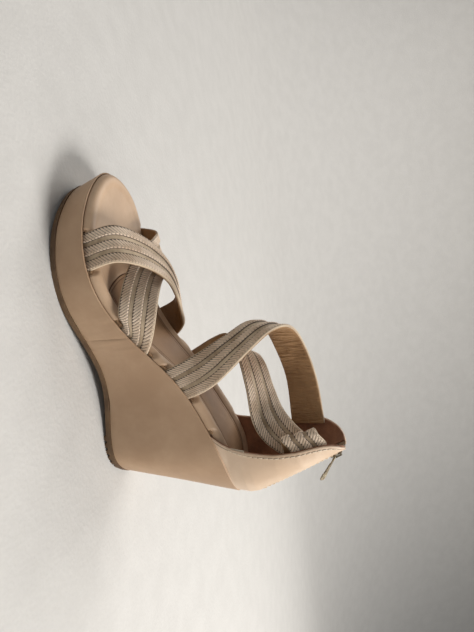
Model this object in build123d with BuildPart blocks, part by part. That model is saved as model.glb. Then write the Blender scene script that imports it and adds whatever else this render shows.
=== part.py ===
"""Left-foot wedge sandal with crossed elastic straps and a closed heel with a back zip.

Millimetres, +Z up, +X towards the toe, +Y towards the foot's outer (left) side.
The origin is on the ground under the middle of the sandal. Lengths along the foot are
given as distances from the back of the heel, and `at` turns them into X.
"""

import os
from math import cos, radians, sin

from build123d import *

os.makedirs("parts", exist_ok=True)

# ---------------------------------------------------------------- driving dimensions
LENGTH = 232.0  # heel back to toe tip along the ground, at the feather line
HEEL_HEIGHT = 87.6  # feather line above the ground at the back of the heel
PLATFORM = 24.4  # feather line above the ground under the ball of the foot
OUTSOLE = 3.5  # rubber thickness
OUTSOLE_LIP = 0.6  # how far the rubber stands out past the wrap
LUG_DEPTH = 2.0  # heel lugs below the outsole
GROOVE = 1.4  # width of the tread grooves across the forefoot
GROOVE_PITCH = 5.6
GROOVE_DEPTH = 0.8
GROOVE_MARGIN = 5.0  # rubber left round the ends of the grooves
WRAP = 1.2  # leather wrap of the wedge
GAP = 0.1  # glue gap between neighbouring layers
BOARD = 1.5  # insole board
FOAM = 1.8
COVER = 0.8  # footbed leather
RIM_CROWN = 5.2  # top of the footbed rim above the feather line
SOCK = 0.75
SOCK_MARGIN = 9.5  # width of the smooth rim round the sock
SOCK_END = 163.0  # distance of the sock's round front end
SOCK_FRONT_RADIUS = 60.0
STRAP_WIDTH = 24.0
STRAP_LINING = 0.7
WEBBING = 0.7
BRAID = 1.1
BRAID_WIDTH = 6.0
BRAID_PITCH = 8.45
TAIL = 6.0  # how far strap ends and counter reach below the feather line
PANEL = 1.1  # counter leather
STIFFENER = 0.6
PANEL_LINING = 0.7
ZIP_SLOPE = 0.474  # the back seam leans forward this much per unit of height
ZIP_BOTTOM = 105.0  # height of the zip's bottom stop
SPAN = 70.0  # half width of cutting slabs, wider than the sandal
TOP = 110.0  # height of the plan above which no wedge outline is needed

BACK = -LENGTH / 2


def at(distance):
    """X of a point that lies this far in front of the heel's back."""
    return BACK + distance


# ---------------------------------------------------------------- outlines
# Plan of the feather line: distance from the heel's back, side (+ is outer),
# then how far the tread's outline lies inside it there, along and across.
PLAN = [
    (0, 0, 18.7, 0),
    (12, 14.1, 14.0, 0.4),
    (30, 21.6, 6.0, 1.0),
    (60, 23.6, 0, 4.0),
    (95, 26.3, 0, 6.0),
    (130, 35.7, 0, 3.5),
    (155, 41.4, 0, 1.6),
    (178, 41.4, 0, 1.6),
    (200, 34.1, -1.5, 1.8),
    (216, 22.6, -4.5, 1.5),
    (228.5, 7.0, -7.5, 0.8),
    (232, -6, -8.5, 0),
    (228, -20, -7.5, -0.8),
    (216, -33.9, -4.5, -1.5),
    (200, -41.1, -1.5, -1.8),
    (178, -42.1, 0, -1.6),
    (155, -36.2, 0, -1.6),
    (130, -27.9, 0, -3.0),
    (95, -22.8, 0, -5.0),
    (60, -25.8, 0, -4.0),
    (30, -27.9, 6.0, -1.0),
    (12, -20.0, 14.0, -0.4),
]
# Feather line seen from the side: distance from the heel's back, height.
FEATHER = [
    (-12, 88.2),
    (0, HEEL_HEIGHT),
    (30, 85.2),
    (60, 76.0),
    (90, 62.3),
    (120, 42.1),
    (150, 28.5),
    (180, PLATFORM),
    (210, PLATFORM),
    (232, 25.3),
    (245, 26.0),
]
# Underside of the outsole seen from the side, in front of the flat heel seat.
HEEL_SEAT_END = 54.0
ARCH = [(HEEL_SEAT_END, LUG_DEPTH), (95, 6.5), (130, 3.0), (158, 0.0)]
BALL_END = 176.0
TOE_SPRING = [(BALL_END, 0.0), (200, 1.6), (232, 3.5), (245, 4.2)]


def feather_height(distance):
    """Height of the feather line, straight between the listed points."""
    for (d0, z0), (d1, z1) in zip(FEATHER, FEATHER[1:]):
        if distance <= d1:
            return z0 + (z1 - z0) * (distance - d0) / (d1 - d0)
    return FEATHER[-1][1]


def inset_outline(points, inset):
    """Closed anticlockwise-seen-from-below outline moved inward by inset."""
    moved = []
    for before, here, after in zip(points[-1:] + points[:-1], points, points[1:] + points[:1]):
        along = (Vector(*after) - Vector(*before)).normalized()
        moved.append((here[0] + inset * along.Y, here[1] - inset * along.X))
    return moved


def wedge_block(inset):
    """The wedge's outer walls moved inward, as a block from the ground up to TOP."""
    tread = []
    top = []
    for distance, side, forward, inward in PLAN:
        rise = TOP / feather_height(distance)
        tread.append((at(distance + forward), side - inward))
        top.append((at(distance + forward * (1 - rise)), side - inward * (1 - rise)))
    with BuildPart() as block:
        for height, outline in ((0, tread), (TOP, top)):
            with BuildSketch(Plane.XY.offset(height)):
                with BuildLine():
                    Spline(*inset_outline(outline, inset), periodic=True)
                make_face()
        loft(ruled=True)
    return block.part


def raised(curve, lift):
    """Side-view curve moved up by lift, in X and Z."""
    return [(at(distance), height + lift) for distance, height in curve]


def under_feather(lift, depth=120.0):
    """Full-width solid below the feather line raised by lift."""
    points = raised(FEATHER, lift)
    with BuildPart() as solid:
        with BuildSketch(Plane.XZ):
            with BuildLine():
                top = Spline(*points)
                Polyline(top @ 1, (points[-1][0], -depth), (points[0][0], -depth), top @ 0)
            make_face()
        extrude(amount=SPAN, both=True)
    return solid.part


def over_tread(lift):
    """Full-width solid above the outsole's underside raised by lift."""
    arch = raised(ARCH, lift)
    toe = raised(TOE_SPRING, lift)
    heel = (at(-12), LUG_DEPTH + lift)
    with BuildPart() as solid:
        with BuildSketch(Plane.XZ):
            with BuildLine():
                Line(heel, arch[0])
                Spline(*arch, tangents=[(1, 0.05), (1, 0)])
                Line(arch[-1], toe[0])
                Spline(*toe)
                Polyline(toe[-1], (toe[-1][0], 200), (heel[0], 200), heel)
            make_face()
        extrude(amount=SPAN, both=True)
    return solid.part


def finish(piece, name):
    """Label a piece and write it out."""
    piece.part.label = name
    export_step(piece.part, f"parts/{name}.step")


# ---------------------------------------------------------------- straps
# Each strap is a list of pairs (back edge, front edge) of its middle surface, from its
# outer end to its inner end: distance from the heel's back, side, height. The first
# and last pairs are the hidden tails.
TOE_STRAP_OVER = [
    ((169, 37.0, 19.0), (193, 32.0, 18.4)),
    ((169, 38.4, 25.0), (193, 33.6, 24.4)),
    ((172, 36.5, 43.0), (195, 29.5, 42.0)),
    ((166.5, 26.5, 56.0), (185.5, 12.5, 52.5)),
    ((156, 13, 63.5), (172, -3, 57.5)),
    ((142.5, 0.5, 63.5), (158.5, -16.5, 57.5)),
    ((130, -10, 60.5), (146, -27, 53.5)),
    ((119.5, -20, 56.5), (136.5, -33.5, 47)),
    ((110, -21.6, 48.5), (134, -26.4, 37.0)),
    ((110, -20.0, 42.5), (134, -24.8, 31.0)),
]
TOE_STRAP_UNDER = [
    ((110, 25.0, 42.5), (134, 32.0, 31.0)),
    ((110, 26.6, 48.5), (134, 33.6, 37.0)),
    ((130, 29.0, 57.0), (141, 37.0, 38.0)),
    ((145, 20.0, 58.0), (154.5, 28.5, 39.0)),
    ((153.5, 6.5, 56.5), (168.5, 14.5, 40.0)),
    ((158, -9.0, 53.5), (178, -3.0, 43.0)),
    ((161.5, -25.0, 47.5), (184, -19.0, 45.5)),
    ((166, -37.0, 38.0), (189, -33.0, 42.0)),
    ((170, -38.4, 25.2), (193, -39.4, 24.6)),
    ((170, -37.0, 19.2), (193, -38.0, 18.6)),
]
ANKLE_STRAP_OVER = [
    ((77, 20.4, 63.0), (100, 22.4, 50.5)),
    ((77, 21.7, 69.3), (100, 23.9, 56.8)),
    ((88, 29.0, 89.5), (107, 21.5, 78)),
    ((104.5, 26.0, 110.5), (115, 12, 95)),
    ((116, 13.0, 127.5), (121, -1, 108.5)),
    ((113.5, -4, 137.5), (115.5, -13.5, 116)),
    ((97, -16.5, 143.5), (96, -24.5, 120.5)),
    ((72, -22.5, 147.5), (71, -30.0, 125)),
    ((44.5, -20.6, 149.5), (44.0, -24.1, 126)),
    ((37, -19.6, 149.5), (36.5, -23.4, 126)),
]
ANKLE_STRAP_UNDER = [
    ((33.5, 9.7, 151.5), (31.5, 16.9, 131)),
    ((40, 12.4, 152.0), (38, 19.0, 131)),
    ((46.5, 13.8, 148.0), (44.5, 19.8, 126.5)),
    ((48.6, 11.8, 146.5), (46.1, 17.8, 125.0)),
    ((46.2, 9.7, 146.0), (43.2, 15.7, 124.5)),
    ((40, 8.6, 147.0), (36.5, 14.6, 125.5)),
    ((36.0, 6.2, 146.0), (31.5, 12.0, 124.5)),
    ((38.0, 4.0, 143.0), (32.0, 9.8, 121.5)),
    ((49.0, 1.5, 132.5), (40.5, 9.5, 111.5)),
    ((60.0, -1.0, 124.5), (57.0, 14.0, 107.0)),
    ((73.5, -5.0, 119.5), (78.5, 13.5, 106.0)),
    ((86.5, -12.5, 115.0), (97, 4.5, 101.0)),
    ((91.5, -22.0, 108.0), (107.5, -10.0, 94.5)),
    ((90, -29.0, 97.0), (109.5, -23, 86.0)),
    ((84, -29.4, 83.0), (105.5, -27.4, 72.5)),
    ((77, -20.3, 69.6), (100, -18.7, 57.1)),
    ((77, -19.2, 63.2), (100, -17.8, 50.7)),
]
STEPS = 5  # straight spans between two listed pairs


def smooth(p0, p1, p2, p3, t):
    """Point at t between p1 and p2 on the smooth curve through four points."""
    return (
        p1 * 2
        + (p2 - p0) * t
        + (p0 * 2 - p1 * 5 + p2 * 4 - p3) * t**2
        + (p1 * 3 - p0 - p2 * 3 + p3) * t**3
    ) * 0.5


def edge_points(points):
    """Points along a strap's edge, STEPS to each listed interval."""
    knots = [Vector(at(distance), side, height) for distance, side, height in points]
    knots = [knots[0] * 2 - knots[1]] + knots + [knots[-1] * 2 - knots[-2]]
    found = []
    for i in range(1, len(knots) - 2):
        for step in range(STEPS):
            found.append(smooth(*knots[i - 1 : i + 3], step / STEPS))
    return found + [knots[-2]]


def strap_planes(pairs):
    """Cross-section planes along a strap: x runs across it, y outward."""
    backs = edge_points([pair[0] for pair in pairs])
    fronts = edge_points([pair[1] for pair in pairs])
    middles = [(b + f) * 0.5 for b, f in zip(backs, fronts)]
    planes = []
    for i, (middle, b, f) in enumerate(zip(middles, backs, fronts)):
        ahead = middles[min(i + 1, len(middles) - 1)] - middles[max(i - 1, 0)]
        across = (f - b).normalized()
        outward = ahead.cross(across).normalized()
        planes.append(Plane(origin=middle, x_dir=across, z_dir=across.cross(outward)))
    return planes


def strap_layer(planes, centre, width, low, high):
    """One layer of a strap, lofted through its cross-sections."""
    with BuildPart() as layer:
        for plane in planes:
            with BuildSketch(plane):
                with Locations((centre, (low + high) / 2)):
                    Rectangle(width, high - low)
        loft(ruled=True, clean=False)
    return layer.part


STRAPS = {
    "toe_strap_over": TOE_STRAP_OVER,
    "toe_strap_under": TOE_STRAP_UNDER,
    "ankle_strap_over": ANKLE_STRAP_OVER,
    "ankle_strap_under": ANKLE_STRAP_UNDER,
}
LINING_LOW = -(STRAP_LINING + WEBBING / 2 + GAP)
BRAID_LOW = WEBBING / 2 + GAP
slots = []
for strap_name, strap_pairs in STRAPS.items():
    stations = strap_planes(strap_pairs)
    shown = stations[STEPS:-STEPS]

    with BuildPart() as lining:
        add(strap_layer(shown, 0, STRAP_WIDTH - 0.6, LINING_LOW, LINING_LOW + STRAP_LINING))
    finish(lining, f"{strap_name}_lining")

    with BuildPart() as webbing:
        add(strap_layer(stations, 0, STRAP_WIDTH, -WEBBING / 2, WEBBING / 2))
    finish(webbing, f"{strap_name}_webbing")

    with BuildPart() as braids:
        for row in (-1, 0, 1):
            add(strap_layer(shown, row * BRAID_PITCH, BRAID_WIDTH, BRAID_LOW, BRAID_LOW + BRAID))
    finish(braids, f"{strap_name}_braids")

    for end in (stations[: 2 * STEPS + 1], stations[-2 * STEPS - 1 :]):
        slots.append(
            strap_layer(end, 0, STRAP_WIDTH + 0.8, LINING_LOW - 0.2, BRAID_LOW + BRAID + 2.4)
        )

# ---------------------------------------------------------------- heel counter
# Rising sections of the counter: height, distance of the back, distance where its sides
# run straight, outer half width, inner half width.
COUNTER = [
    (74.0, 5.5, 46.0, 22.0, 25.8),
    (88.0, 1.6, 46.0, 22.4, 26.0),
    (97.0, 0.4, 42.0, 23.6, 27.0),
    (103.0, 1.5, 40.0, 24.0, 27.2),
    (120.0, None, 38.0, 24.0, 27.2),
    (135.0, None, 38.5, 22.0, 27.0),
    (150.0, None, 40.0, 17.0, 24.0),
    (168.0, None, 41.0, 10.5, 14.0),
]
# Front and top edge of each half, seen from the side: distance, height.
OUTER_EDGE = [
    (59, 68),
    (50.5, 79),
    (44.5, 86.5),
    (39.4, 101.6),
    (37.2, 121),
    (38.4, 141),
    (38.4, 155),
    (35.5, 161.5),
    (30.4, 164.6),
    (24, 165.2),
]
INNER_EDGE = [
    (57, 69),
    (47.8, 81.0),
    (44.4, 94.5),
    (41.6, 112),
    (41.3, 137),
    (42.0, 149.5),
    (39.3, 157),
    (35.6, 161.8),
    (30.4, 164.6),
    (24, 165.2),
]
COUNTER_INSIDE = PANEL + STIFFENER + PANEL_LINING + 2 * GAP
SHELL_SHAPE = (0.0, 0.08, 0.2, 0.36, 0.55, 0.77, 1.0)  # shares of the way to straight


def back_distance(height):
    """Distance of the back seam from the heel's back along the straight zip."""
    return 1.5 + (height - 103.0) * ZIP_SLOPE


def counter_block(inset):
    """Solid inside the counter's outer surface, moved inward by inset."""
    with BuildPart() as block:
        for height, back, straight, outer, inner in COUNTER:
            if back is None:
                back = back_distance(height)
            reach = straight - back - inset
            halves = []
            for side in (outer - inset, -(inner - inset)):
                points = []
                for share in SHELL_SHAPE:
                    width = side * (1 - (1 - share) ** 2) ** 0.53
                    points.append((at(back + inset + share * reach), width))
                halves.append(points)
            front = at(75)
            with BuildSketch(Plane.XY.offset(height)):
                with BuildLine():
                    left = Spline(*halves[0], tangents=[(0, 1), (1, 0)])
                    right = Spline(*halves[1], tangents=[(0, -1), (1, 0)])
                    Polyline(left @ 1, (front, halves[0][-1][1]), (front, halves[1][-1][1]), right @ 1)
                make_face()
        loft(ruled=True)
    return block.part


def behind_edge(edge):
    """Full-width solid behind a half's front and top edge."""
    points = [(at(distance), height) for distance, height in edge]
    with BuildPart() as solid:
        with BuildSketch(Plane.XZ):
            with BuildLine():
                line = Spline(*points)
                Polyline(line @ 1, (at(-30), edge[-1][1]), (at(-30), edge[0][1]), line @ 0)
            make_face()
        extrude(amount=SPAN, both=True)
    return solid.part


def half_space(side, start, low, high):
    """Box on one side of the middle plane, from start outward, between two heights."""
    with BuildPart() as box:
        with BuildSketch(Plane.XY.offset(low)):
            with Locations((at(30), side * (start + SPAN) / 2)):
                Rectangle(180, SPAN - start)
        extrude(amount=high - low)
    return box.part


zip_along = Vector(ZIP_SLOPE, 0, 1).normalized()
zip_out = Vector(-1, 0, ZIP_SLOPE).normalized()
zip_plane = Plane(
    origin=(at(back_distance(ZIP_BOTTOM)), 0, ZIP_BOTTOM), x_dir=zip_along, z_dir=zip_out
)


def zip_box(start, end, half_width, low, high):
    """Box along the zip: start and end up the seam, low and high outward from it."""
    with BuildPart() as box:
        with BuildSketch(zip_plane.offset(low)):
            with Locations(((start + end) / 2, 0)):
                Rectangle(end - start, 2 * half_width)
        extrude(amount=high - low)
    return box.part


blocks = {}
for depth in (
    0.0,
    PANEL,
    PANEL + GAP,
    PANEL + GAP + STIFFENER,
    COUNTER_INSIDE - PANEL_LINING,
    COUNTER_INSIDE,
):
    blocks[depth] = counter_block(depth)
margin_limit = wedge_block(WRAP + GAP)
above_margin = under_feather(-TAIL)
under_line = under_feather(0)
BUTT = 0.1  # half gap of the closed back seam
TEETH_GAP = 3.6  # leather edge to the zip's middle
LINING_GAP = 5.5
TAPE_EDGE = 0.9
TAPE_REACH = 8.0
ZIP_TOP = 75.0  # past the counter's top


def counter_layer(outside, inside, edge, side, parting, zip_gap):
    """One half of one layer of the counter, trimmed to its edges and to the wedge."""
    with BuildPart() as layer:
        add(blocks[outside])
        add(blocks[inside], mode=Mode.SUBTRACT)
        add(behind_edge(edge), mode=Mode.INTERSECT)
        add(half_space(side, parting, 60, 200), mode=Mode.INTERSECT)
        add(zip_box(-2, ZIP_TOP, zip_gap, -12, 6), mode=Mode.SUBTRACT)
        add(above_margin, mode=Mode.SUBTRACT)
        add(outside_margin, mode=Mode.SUBTRACT)
    return layer.part


with BuildPart() as margin_ring:
    add(wedge_block(-8))
    add(margin_limit, mode=Mode.SUBTRACT)
    add(under_line, mode=Mode.INTERSECT)
outside_margin = margin_ring.part

HALVES = (("outer", 1, OUTER_EDGE), ("inner", -1, INNER_EDGE))
for half, side, edge in HALVES:
    with BuildPart() as panel:
        add(counter_layer(0.0, PANEL, edge, side, BUTT, TEETH_GAP))
    finish(panel, f"counter_{half}_panel")

    with BuildPart() as panel_lining:
        add(
            counter_layer(
                COUNTER_INSIDE - PANEL_LINING, COUNTER_INSIDE, edge, side, BUTT, LINING_GAP
            )
        )
    finish(panel_lining, f"counter_{half}_lining")

    with BuildPart() as tape:
        add(blocks[PANEL + GAP])
        add(blocks[PANEL + GAP + STIFFENER], mode=Mode.SUBTRACT)
        add(half_space(side, TAPE_EDGE, 60, 200), mode=Mode.INTERSECT)
        add(zip_box(-3, 66.5, TAPE_REACH, -12, 6), mode=Mode.INTERSECT)
        add(behind_edge(edge), mode=Mode.INTERSECT)
    finish(tape, f"zip_{half}_tape")

STIFFENER_TOP = ZIP_BOTTOM - 4.5
with BuildPart() as stiffener:
    add(blocks[PANEL + GAP])
    add(blocks[PANEL + GAP + STIFFENER], mode=Mode.SUBTRACT)
    add(behind_edge([(d - 3, z) for d, z in INNER_EDGE]), mode=Mode.INTERSECT)
    with BuildSketch(Plane.XY.offset(60)):
        Rectangle(2 * SPAN + LENGTH, 2 * SPAN)
    extrude(amount=STIFFENER_TOP - 60, mode=Mode.INTERSECT)
    add(above_margin, mode=Mode.SUBTRACT)
    add(outside_margin, mode=Mode.SUBTRACT)
finish(stiffener, "heel_stiffener")

# ---------------------------------------------------------------- zip
TOOTH_PITCH = 2.4
TOOTH = 1.0
TOOTH_CROSSING = 0.6  # how far a tooth reaches past the middle
TOOTH_ROOT = 2.0
TEETH_LOW = -0.95
TEETH_HIGH = -0.05
TEETH_END = 57.5
SLIDER_START = 53.0
SLIDER_END = 62.0

for half, side, edge in HALVES:
    with BuildPart() as teeth:
        start = 1.4 if side > 0 else 1.4 + TOOTH_PITCH / 2
        count = int((TEETH_END - start) / TOOTH_PITCH) + 1
        middle = side * (TOOTH_ROOT - TOOTH_CROSSING) / 2
        spots = [(start + i * TOOTH_PITCH, middle) for i in range(count)]
        with BuildSketch(zip_plane.offset(TEETH_LOW)):
            with Locations(*spots):
                Rectangle(TOOTH, TOOTH_ROOT + TOOTH_CROSSING)
        extrude(amount=TEETH_HIGH - TEETH_LOW)
    finish(teeth, f"zip_{half}_teeth")

with BuildPart() as bottom_stop:
    with BuildSketch(zip_plane.offset(TEETH_LOW)):
        with Locations((-0.4, 0)):
            RectangleRounded(1.8, 4.6, 0.5)
    extrude(amount=TEETH_HIGH - TEETH_LOW)
finish(bottom_stop, "zip_bottom_stop")

with BuildPart() as top_stops:
    with BuildSketch(zip_plane.offset(TEETH_LOW)):
        with Locations((SLIDER_END + 1.1, 1.9), (SLIDER_END + 1.1, -1.9)):
            RectangleRounded(1.6, 1.6, 0.4)
    extrude(amount=TEETH_HIGH - TEETH_LOW)
finish(top_stops, "zip_top_stops")

SLIDER_MIDDLE = (SLIDER_START + SLIDER_END) / 2
SLIDER_HALF_WIDTH = 3.2
OUTER_PLATE = (0.3, 1.3)
INNER_PLATE = (-3.1, -2.4)
POST = (59.6, 61.6)
PIN_ALONG = 56.0
PIN_OUT = 2.35
PIN_RADIUS = 0.5
BRIDGE_HALF_WIDTH = 0.8

with BuildPart() as slider:
    for low, high in (OUTER_PLATE, INNER_PLATE):
        with BuildSketch(zip_plane.offset(low)):
            with Locations((SLIDER_MIDDLE, 0)):
                RectangleRounded(SLIDER_END - SLIDER_START, 2 * SLIDER_HALF_WIDTH, 1.8)
        extrude(amount=high - low)
    with BuildSketch(zip_plane.offset(INNER_PLATE[0])):
        with Locations((sum(POST) / 2, 0)):
            Rectangle(POST[1] - POST[0], 1.2)
    extrude(amount=OUTER_PLATE[1] - INNER_PLATE[0])
    with BuildSketch(zip_plane.offset(-0.9)):
        with Locations((SLIDER_MIDDLE, 2.85), (SLIDER_MIDDLE, -2.85)):
            Rectangle(SLIDER_END - SLIDER_START - 4, 0.7)
    extrude(amount=1.4)
    with BuildSketch(zip_plane.offset(OUTER_PLATE[1])):
        with Locations((57.2, 0)):
            Rectangle(6.4, 2 * BRIDGE_HALF_WIDTH)
    extrude(amount=2.4)
    with BuildSketch(zip_plane.offset(OUTER_PLATE[1])):
        with Locations((PIN_ALONG + 0.9, 0)):
            Rectangle(3.6, 4)
    extrude(amount=1.7, mode=Mode.SUBTRACT)
finish(slider, "zip_slider")

# The puller is shown swung out from the seam by PULLER_SWING.
PULLER_SWING = 32.0
PULLER_LENGTH = 21.0
PULLER_WIDTH = 4.4
PULLER_THICKNESS = 0.9
PRONG_MIDDLE = 1.55
pin_centre = zip_plane.from_local_coords(Vector(PIN_ALONG, 0, PIN_OUT))
puller_along = zip_along * -cos(radians(PULLER_SWING)) + zip_out * sin(radians(PULLER_SWING))
puller_plane = Plane(origin=pin_centre, x_dir=puller_along, z_dir=puller_along.cross(Vector(0, 1, 0)))
with BuildPart() as puller:
    with BuildSketch(puller_plane.offset(-PULLER_THICKNESS / 2)):
        with Locations((1.6, PRONG_MIDDLE), (1.6, -PRONG_MIDDLE)):
            Rectangle(4.2, 1.0)
        with Locations((5.3, 0)):
            Rectangle(3.6, 4.1)
        with Locations((12.0, 0)):
            Rectangle(12.0, 2.6)
        with Locations((18.0, 0)):
            RectangleRounded(6.0, PULLER_WIDTH, 1.9)
        with Locations((18.6, 0)):
            Circle(0.8, mode=Mode.SUBTRACT)
    extrude(amount=PULLER_THICKNESS)
    with BuildSketch(Plane.XZ.offset(-PRONG_MIDDLE)):
        with Locations((pin_centre.X, pin_centre.Z)):
            Circle(PIN_RADIUS)
    extrude(amount=2 * PRONG_MIDDLE)
finish(puller, "zip_puller")

# ---------------------------------------------------------------- wedge and sole
with BuildPart() as outsole:
    add(wedge_block(-OUTSOLE_LIP))
    add(over_tread(0), mode=Mode.INTERSECT)
    add(over_tread(OUTSOLE), mode=Mode.SUBTRACT)
    with BuildPart(mode=Mode.PRIVATE) as lugs:
        with BuildSketch():
            with Locations(*[(at(21.5 + 5.0 * i), 0) for i in range(7)]):
                Rectangle(3.0, 2 * SPAN)
            with Locations((at(36), 0)):
                Rectangle(60, 2.4, mode=Mode.SUBTRACT)
        extrude(amount=LUG_DEPTH + 0.5)
        add(wedge_block(-OUTSOLE_LIP + 0.3), mode=Mode.INTERSECT)
    add(lugs.part)
    with BuildPart(mode=Mode.PRIVATE) as grooves:
        with BuildSketch():
            with Locations(*[(at(136 + GROOVE_PITCH * i), 0) for i in range(15)]):
                Rectangle(GROOVE, 2 * SPAN)
        extrude(amount=20)
        add(over_tread(GROOVE_DEPTH), mode=Mode.SUBTRACT)
        add(wedge_block(GROOVE_MARGIN), mode=Mode.INTERSECT)
    add(grooves.part, mode=Mode.SUBTRACT)
finish(outsole, "outsole")

SEAM = 124.0  # distance of the seam between the two pieces of the wrap
SEAM_GAP = 0.05


def between(start, end):
    """Full-width block between two distances from the heel's back."""
    with BuildPart() as block:
        with BuildSketch():
            with Locations((at((start + end) / 2), 0)):
                Rectangle(end - start, 2 * SPAN)
        extrude(amount=200)
    return block.part


for name, start, end in (
    ("wrap_heel", -30, SEAM - SEAM_GAP),
    ("wrap_platform", SEAM + SEAM_GAP, 260),
):
    with BuildPart() as wrap:
        add(wedge_block(0))
        add(over_tread(OUTSOLE + SEAM_GAP), mode=Mode.INTERSECT)
        add(under_line, mode=Mode.INTERSECT)
        add(margin_limit, mode=Mode.SUBTRACT)
        add(between(start, end), mode=Mode.INTERSECT)
    finish(wrap, name)

with BuildPart() as counter_slot:
    add(counter_block(-0.15))
    add(counter_block(COUNTER_INSIDE + 0.15), mode=Mode.SUBTRACT)
    add(behind_edge([(distance + 1, height) for distance, height in OUTER_EDGE]), mode=Mode.INTERSECT)
    add(under_feather(-TAIL - 0.2), mode=Mode.SUBTRACT)

# Shank under the waist, with its rivets, and the nails that hold the board to the heel.
SHANK = 1.2
SHANK_WIDTH = 12.0
SHANK_START = 34.0
SHANK_END = 122.0
RIVETS = [(42, 0), (112, 2)]
RIVET_RADIUS = 1.6
NAILS = [(16, 0), (27, 11), (27, -13), (24, 0), (33, 12), (33, -14)]
NAIL_RADIUS = 0.9
FIXING_DEPTH = 9.0


def posts(spots, radius, reach):
    """Upright round posts through the board, cut flush with it and as deep as reach."""
    with BuildPart() as found:
        with BuildSketch():
            with Locations(*[(at(distance), side) for distance, side in spots]):
                Circle(radius)
        extrude(amount=200)
        add(under_feather(BOARD), mode=Mode.INTERSECT)
        add(under_feather(-reach), mode=Mode.SUBTRACT)
    return found.part


with BuildPart() as shank:
    with BuildSketch():
        with Locations((at((SHANK_START + SHANK_END) / 2), 0)):
            SlotOverall(SHANK_END - SHANK_START, SHANK_WIDTH)
    extrude(amount=200)
    add(under_feather(-GAP), mode=Mode.INTERSECT)
    add(under_feather(-GAP - SHANK), mode=Mode.SUBTRACT)
    add(posts(RIVETS, RIVET_RADIUS + 0.05, FIXING_DEPTH), mode=Mode.SUBTRACT)
finish(shank, "shank")

with BuildPart() as rivets:
    add(posts(RIVETS, RIVET_RADIUS, FIXING_DEPTH))
finish(rivets, "shank_rivets")

with BuildPart() as nails:
    add(posts(NAILS, NAIL_RADIUS, FIXING_DEPTH))
finish(nails, "heel_nails")

with BuildPart() as wedge_core:
    add(wedge_block(WRAP + 2 * GAP))
    add(over_tread(OUTSOLE + GAP), mode=Mode.INTERSECT)
    add(under_feather(-GAP), mode=Mode.INTERSECT)
    for slot in slots:
        add(slot, mode=Mode.SUBTRACT)
    add(counter_slot.part, mode=Mode.SUBTRACT)
    with BuildPart(mode=Mode.PRIVATE) as shank_seat:
        with BuildSketch():
            with Locations((at((SHANK_START + SHANK_END) / 2), 0)):
                SlotOverall(SHANK_END - SHANK_START + 0.4, SHANK_WIDTH + 0.4)
        extrude(amount=200)
        add(under_feather(-2 * GAP - SHANK), mode=Mode.SUBTRACT)
    add(shank_seat.part, mode=Mode.SUBTRACT)
    add(posts(RIVETS, RIVET_RADIUS + 0.05, FIXING_DEPTH + 0.1), mode=Mode.SUBTRACT)
    add(posts(NAILS, NAIL_RADIUS + 0.05, FIXING_DEPTH + 0.1), mode=Mode.SUBTRACT)
finish(wedge_core, "wedge_core")

# ---------------------------------------------------------------- footbed
COVER_INSET = WRAP + 0.5
PAD_INSET = COVER_INSET + COVER + GAP
FOAM_TOP = BOARD + 2 * GAP + FOAM
SOCK_FLOOR = FOAM_TOP + GAP + COVER
HEEL_SEAT = 52.0  # where the counter's front corners end


def footbed_layer(inset, low, high, heel_inset):
    """Layer of the footbed, cut round the counter and the strap ends."""
    with BuildPart() as heel_cut:
        add(between(-30, HEEL_SEAT))
        add(counter_block(COUNTER_INSIDE + heel_inset), mode=Mode.SUBTRACT)
    with BuildPart() as layer:
        add(wedge_block(inset))
        add(under_feather(high), mode=Mode.INTERSECT)
        add(under_feather(low), mode=Mode.SUBTRACT)
        add(heel_cut.part, mode=Mode.SUBTRACT)
        for slot in slots:
            add(slot, mode=Mode.SUBTRACT)
    return layer.part


with BuildPart() as board:
    add(footbed_layer(PAD_INSET, 0.05, BOARD, 1.3))
    add(posts(RIVETS, RIVET_RADIUS + 0.05, 2), mode=Mode.SUBTRACT)
    add(posts(NAILS, NAIL_RADIUS + 0.05, 2), mode=Mode.SUBTRACT)
finish(board, "insole_board")

with BuildPart() as foam:
    add(footbed_layer(PAD_INSET, BOARD + GAP, FOAM_TOP, 1.3))
finish(foam, "footbed_foam")


def sock_reach(clearance):
    """Block over the part of the footbed that the sock covers, round at the front."""
    radius = SOCK_FRONT_RADIUS + clearance
    middle = at(SOCK_END - SOCK_FRONT_RADIUS)
    with BuildPart() as block:
        with BuildSketch():
            with Locations((middle, 0)):
                Circle(radius)
            with Locations((middle - LENGTH / 2, 0)):
                Rectangle(LENGTH, 2 * radius)
        extrude(amount=200)
    return block.part


with BuildPart() as sock_recess:
    add(footbed_layer(SOCK_MARGIN - GAP, SOCK_FLOOR, RIM_CROWN + 2, 0.2))
    add(sock_reach(GAP), mode=Mode.INTERSECT)

with BuildPart() as cover:
    add(footbed_layer(COVER_INSET, 0.05, RIM_CROWN, 0.2))
    add(footbed_layer(PAD_INSET - GAP, 0, FOAM_TOP + GAP, 1.2), mode=Mode.SUBTRACT)
    add(sock_recess.part, mode=Mode.SUBTRACT)
finish(cover, "footbed_cover")

with BuildPart() as sock:
    add(footbed_layer(SOCK_MARGIN, SOCK_FLOOR + GAP, SOCK_FLOOR + GAP + SOCK, 0.4))
    add(sock_reach(0), mode=Mode.INTERSECT)
finish(sock, "sock_liner")
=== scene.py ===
from math import cos, pi, radians, sin, sqrt

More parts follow.
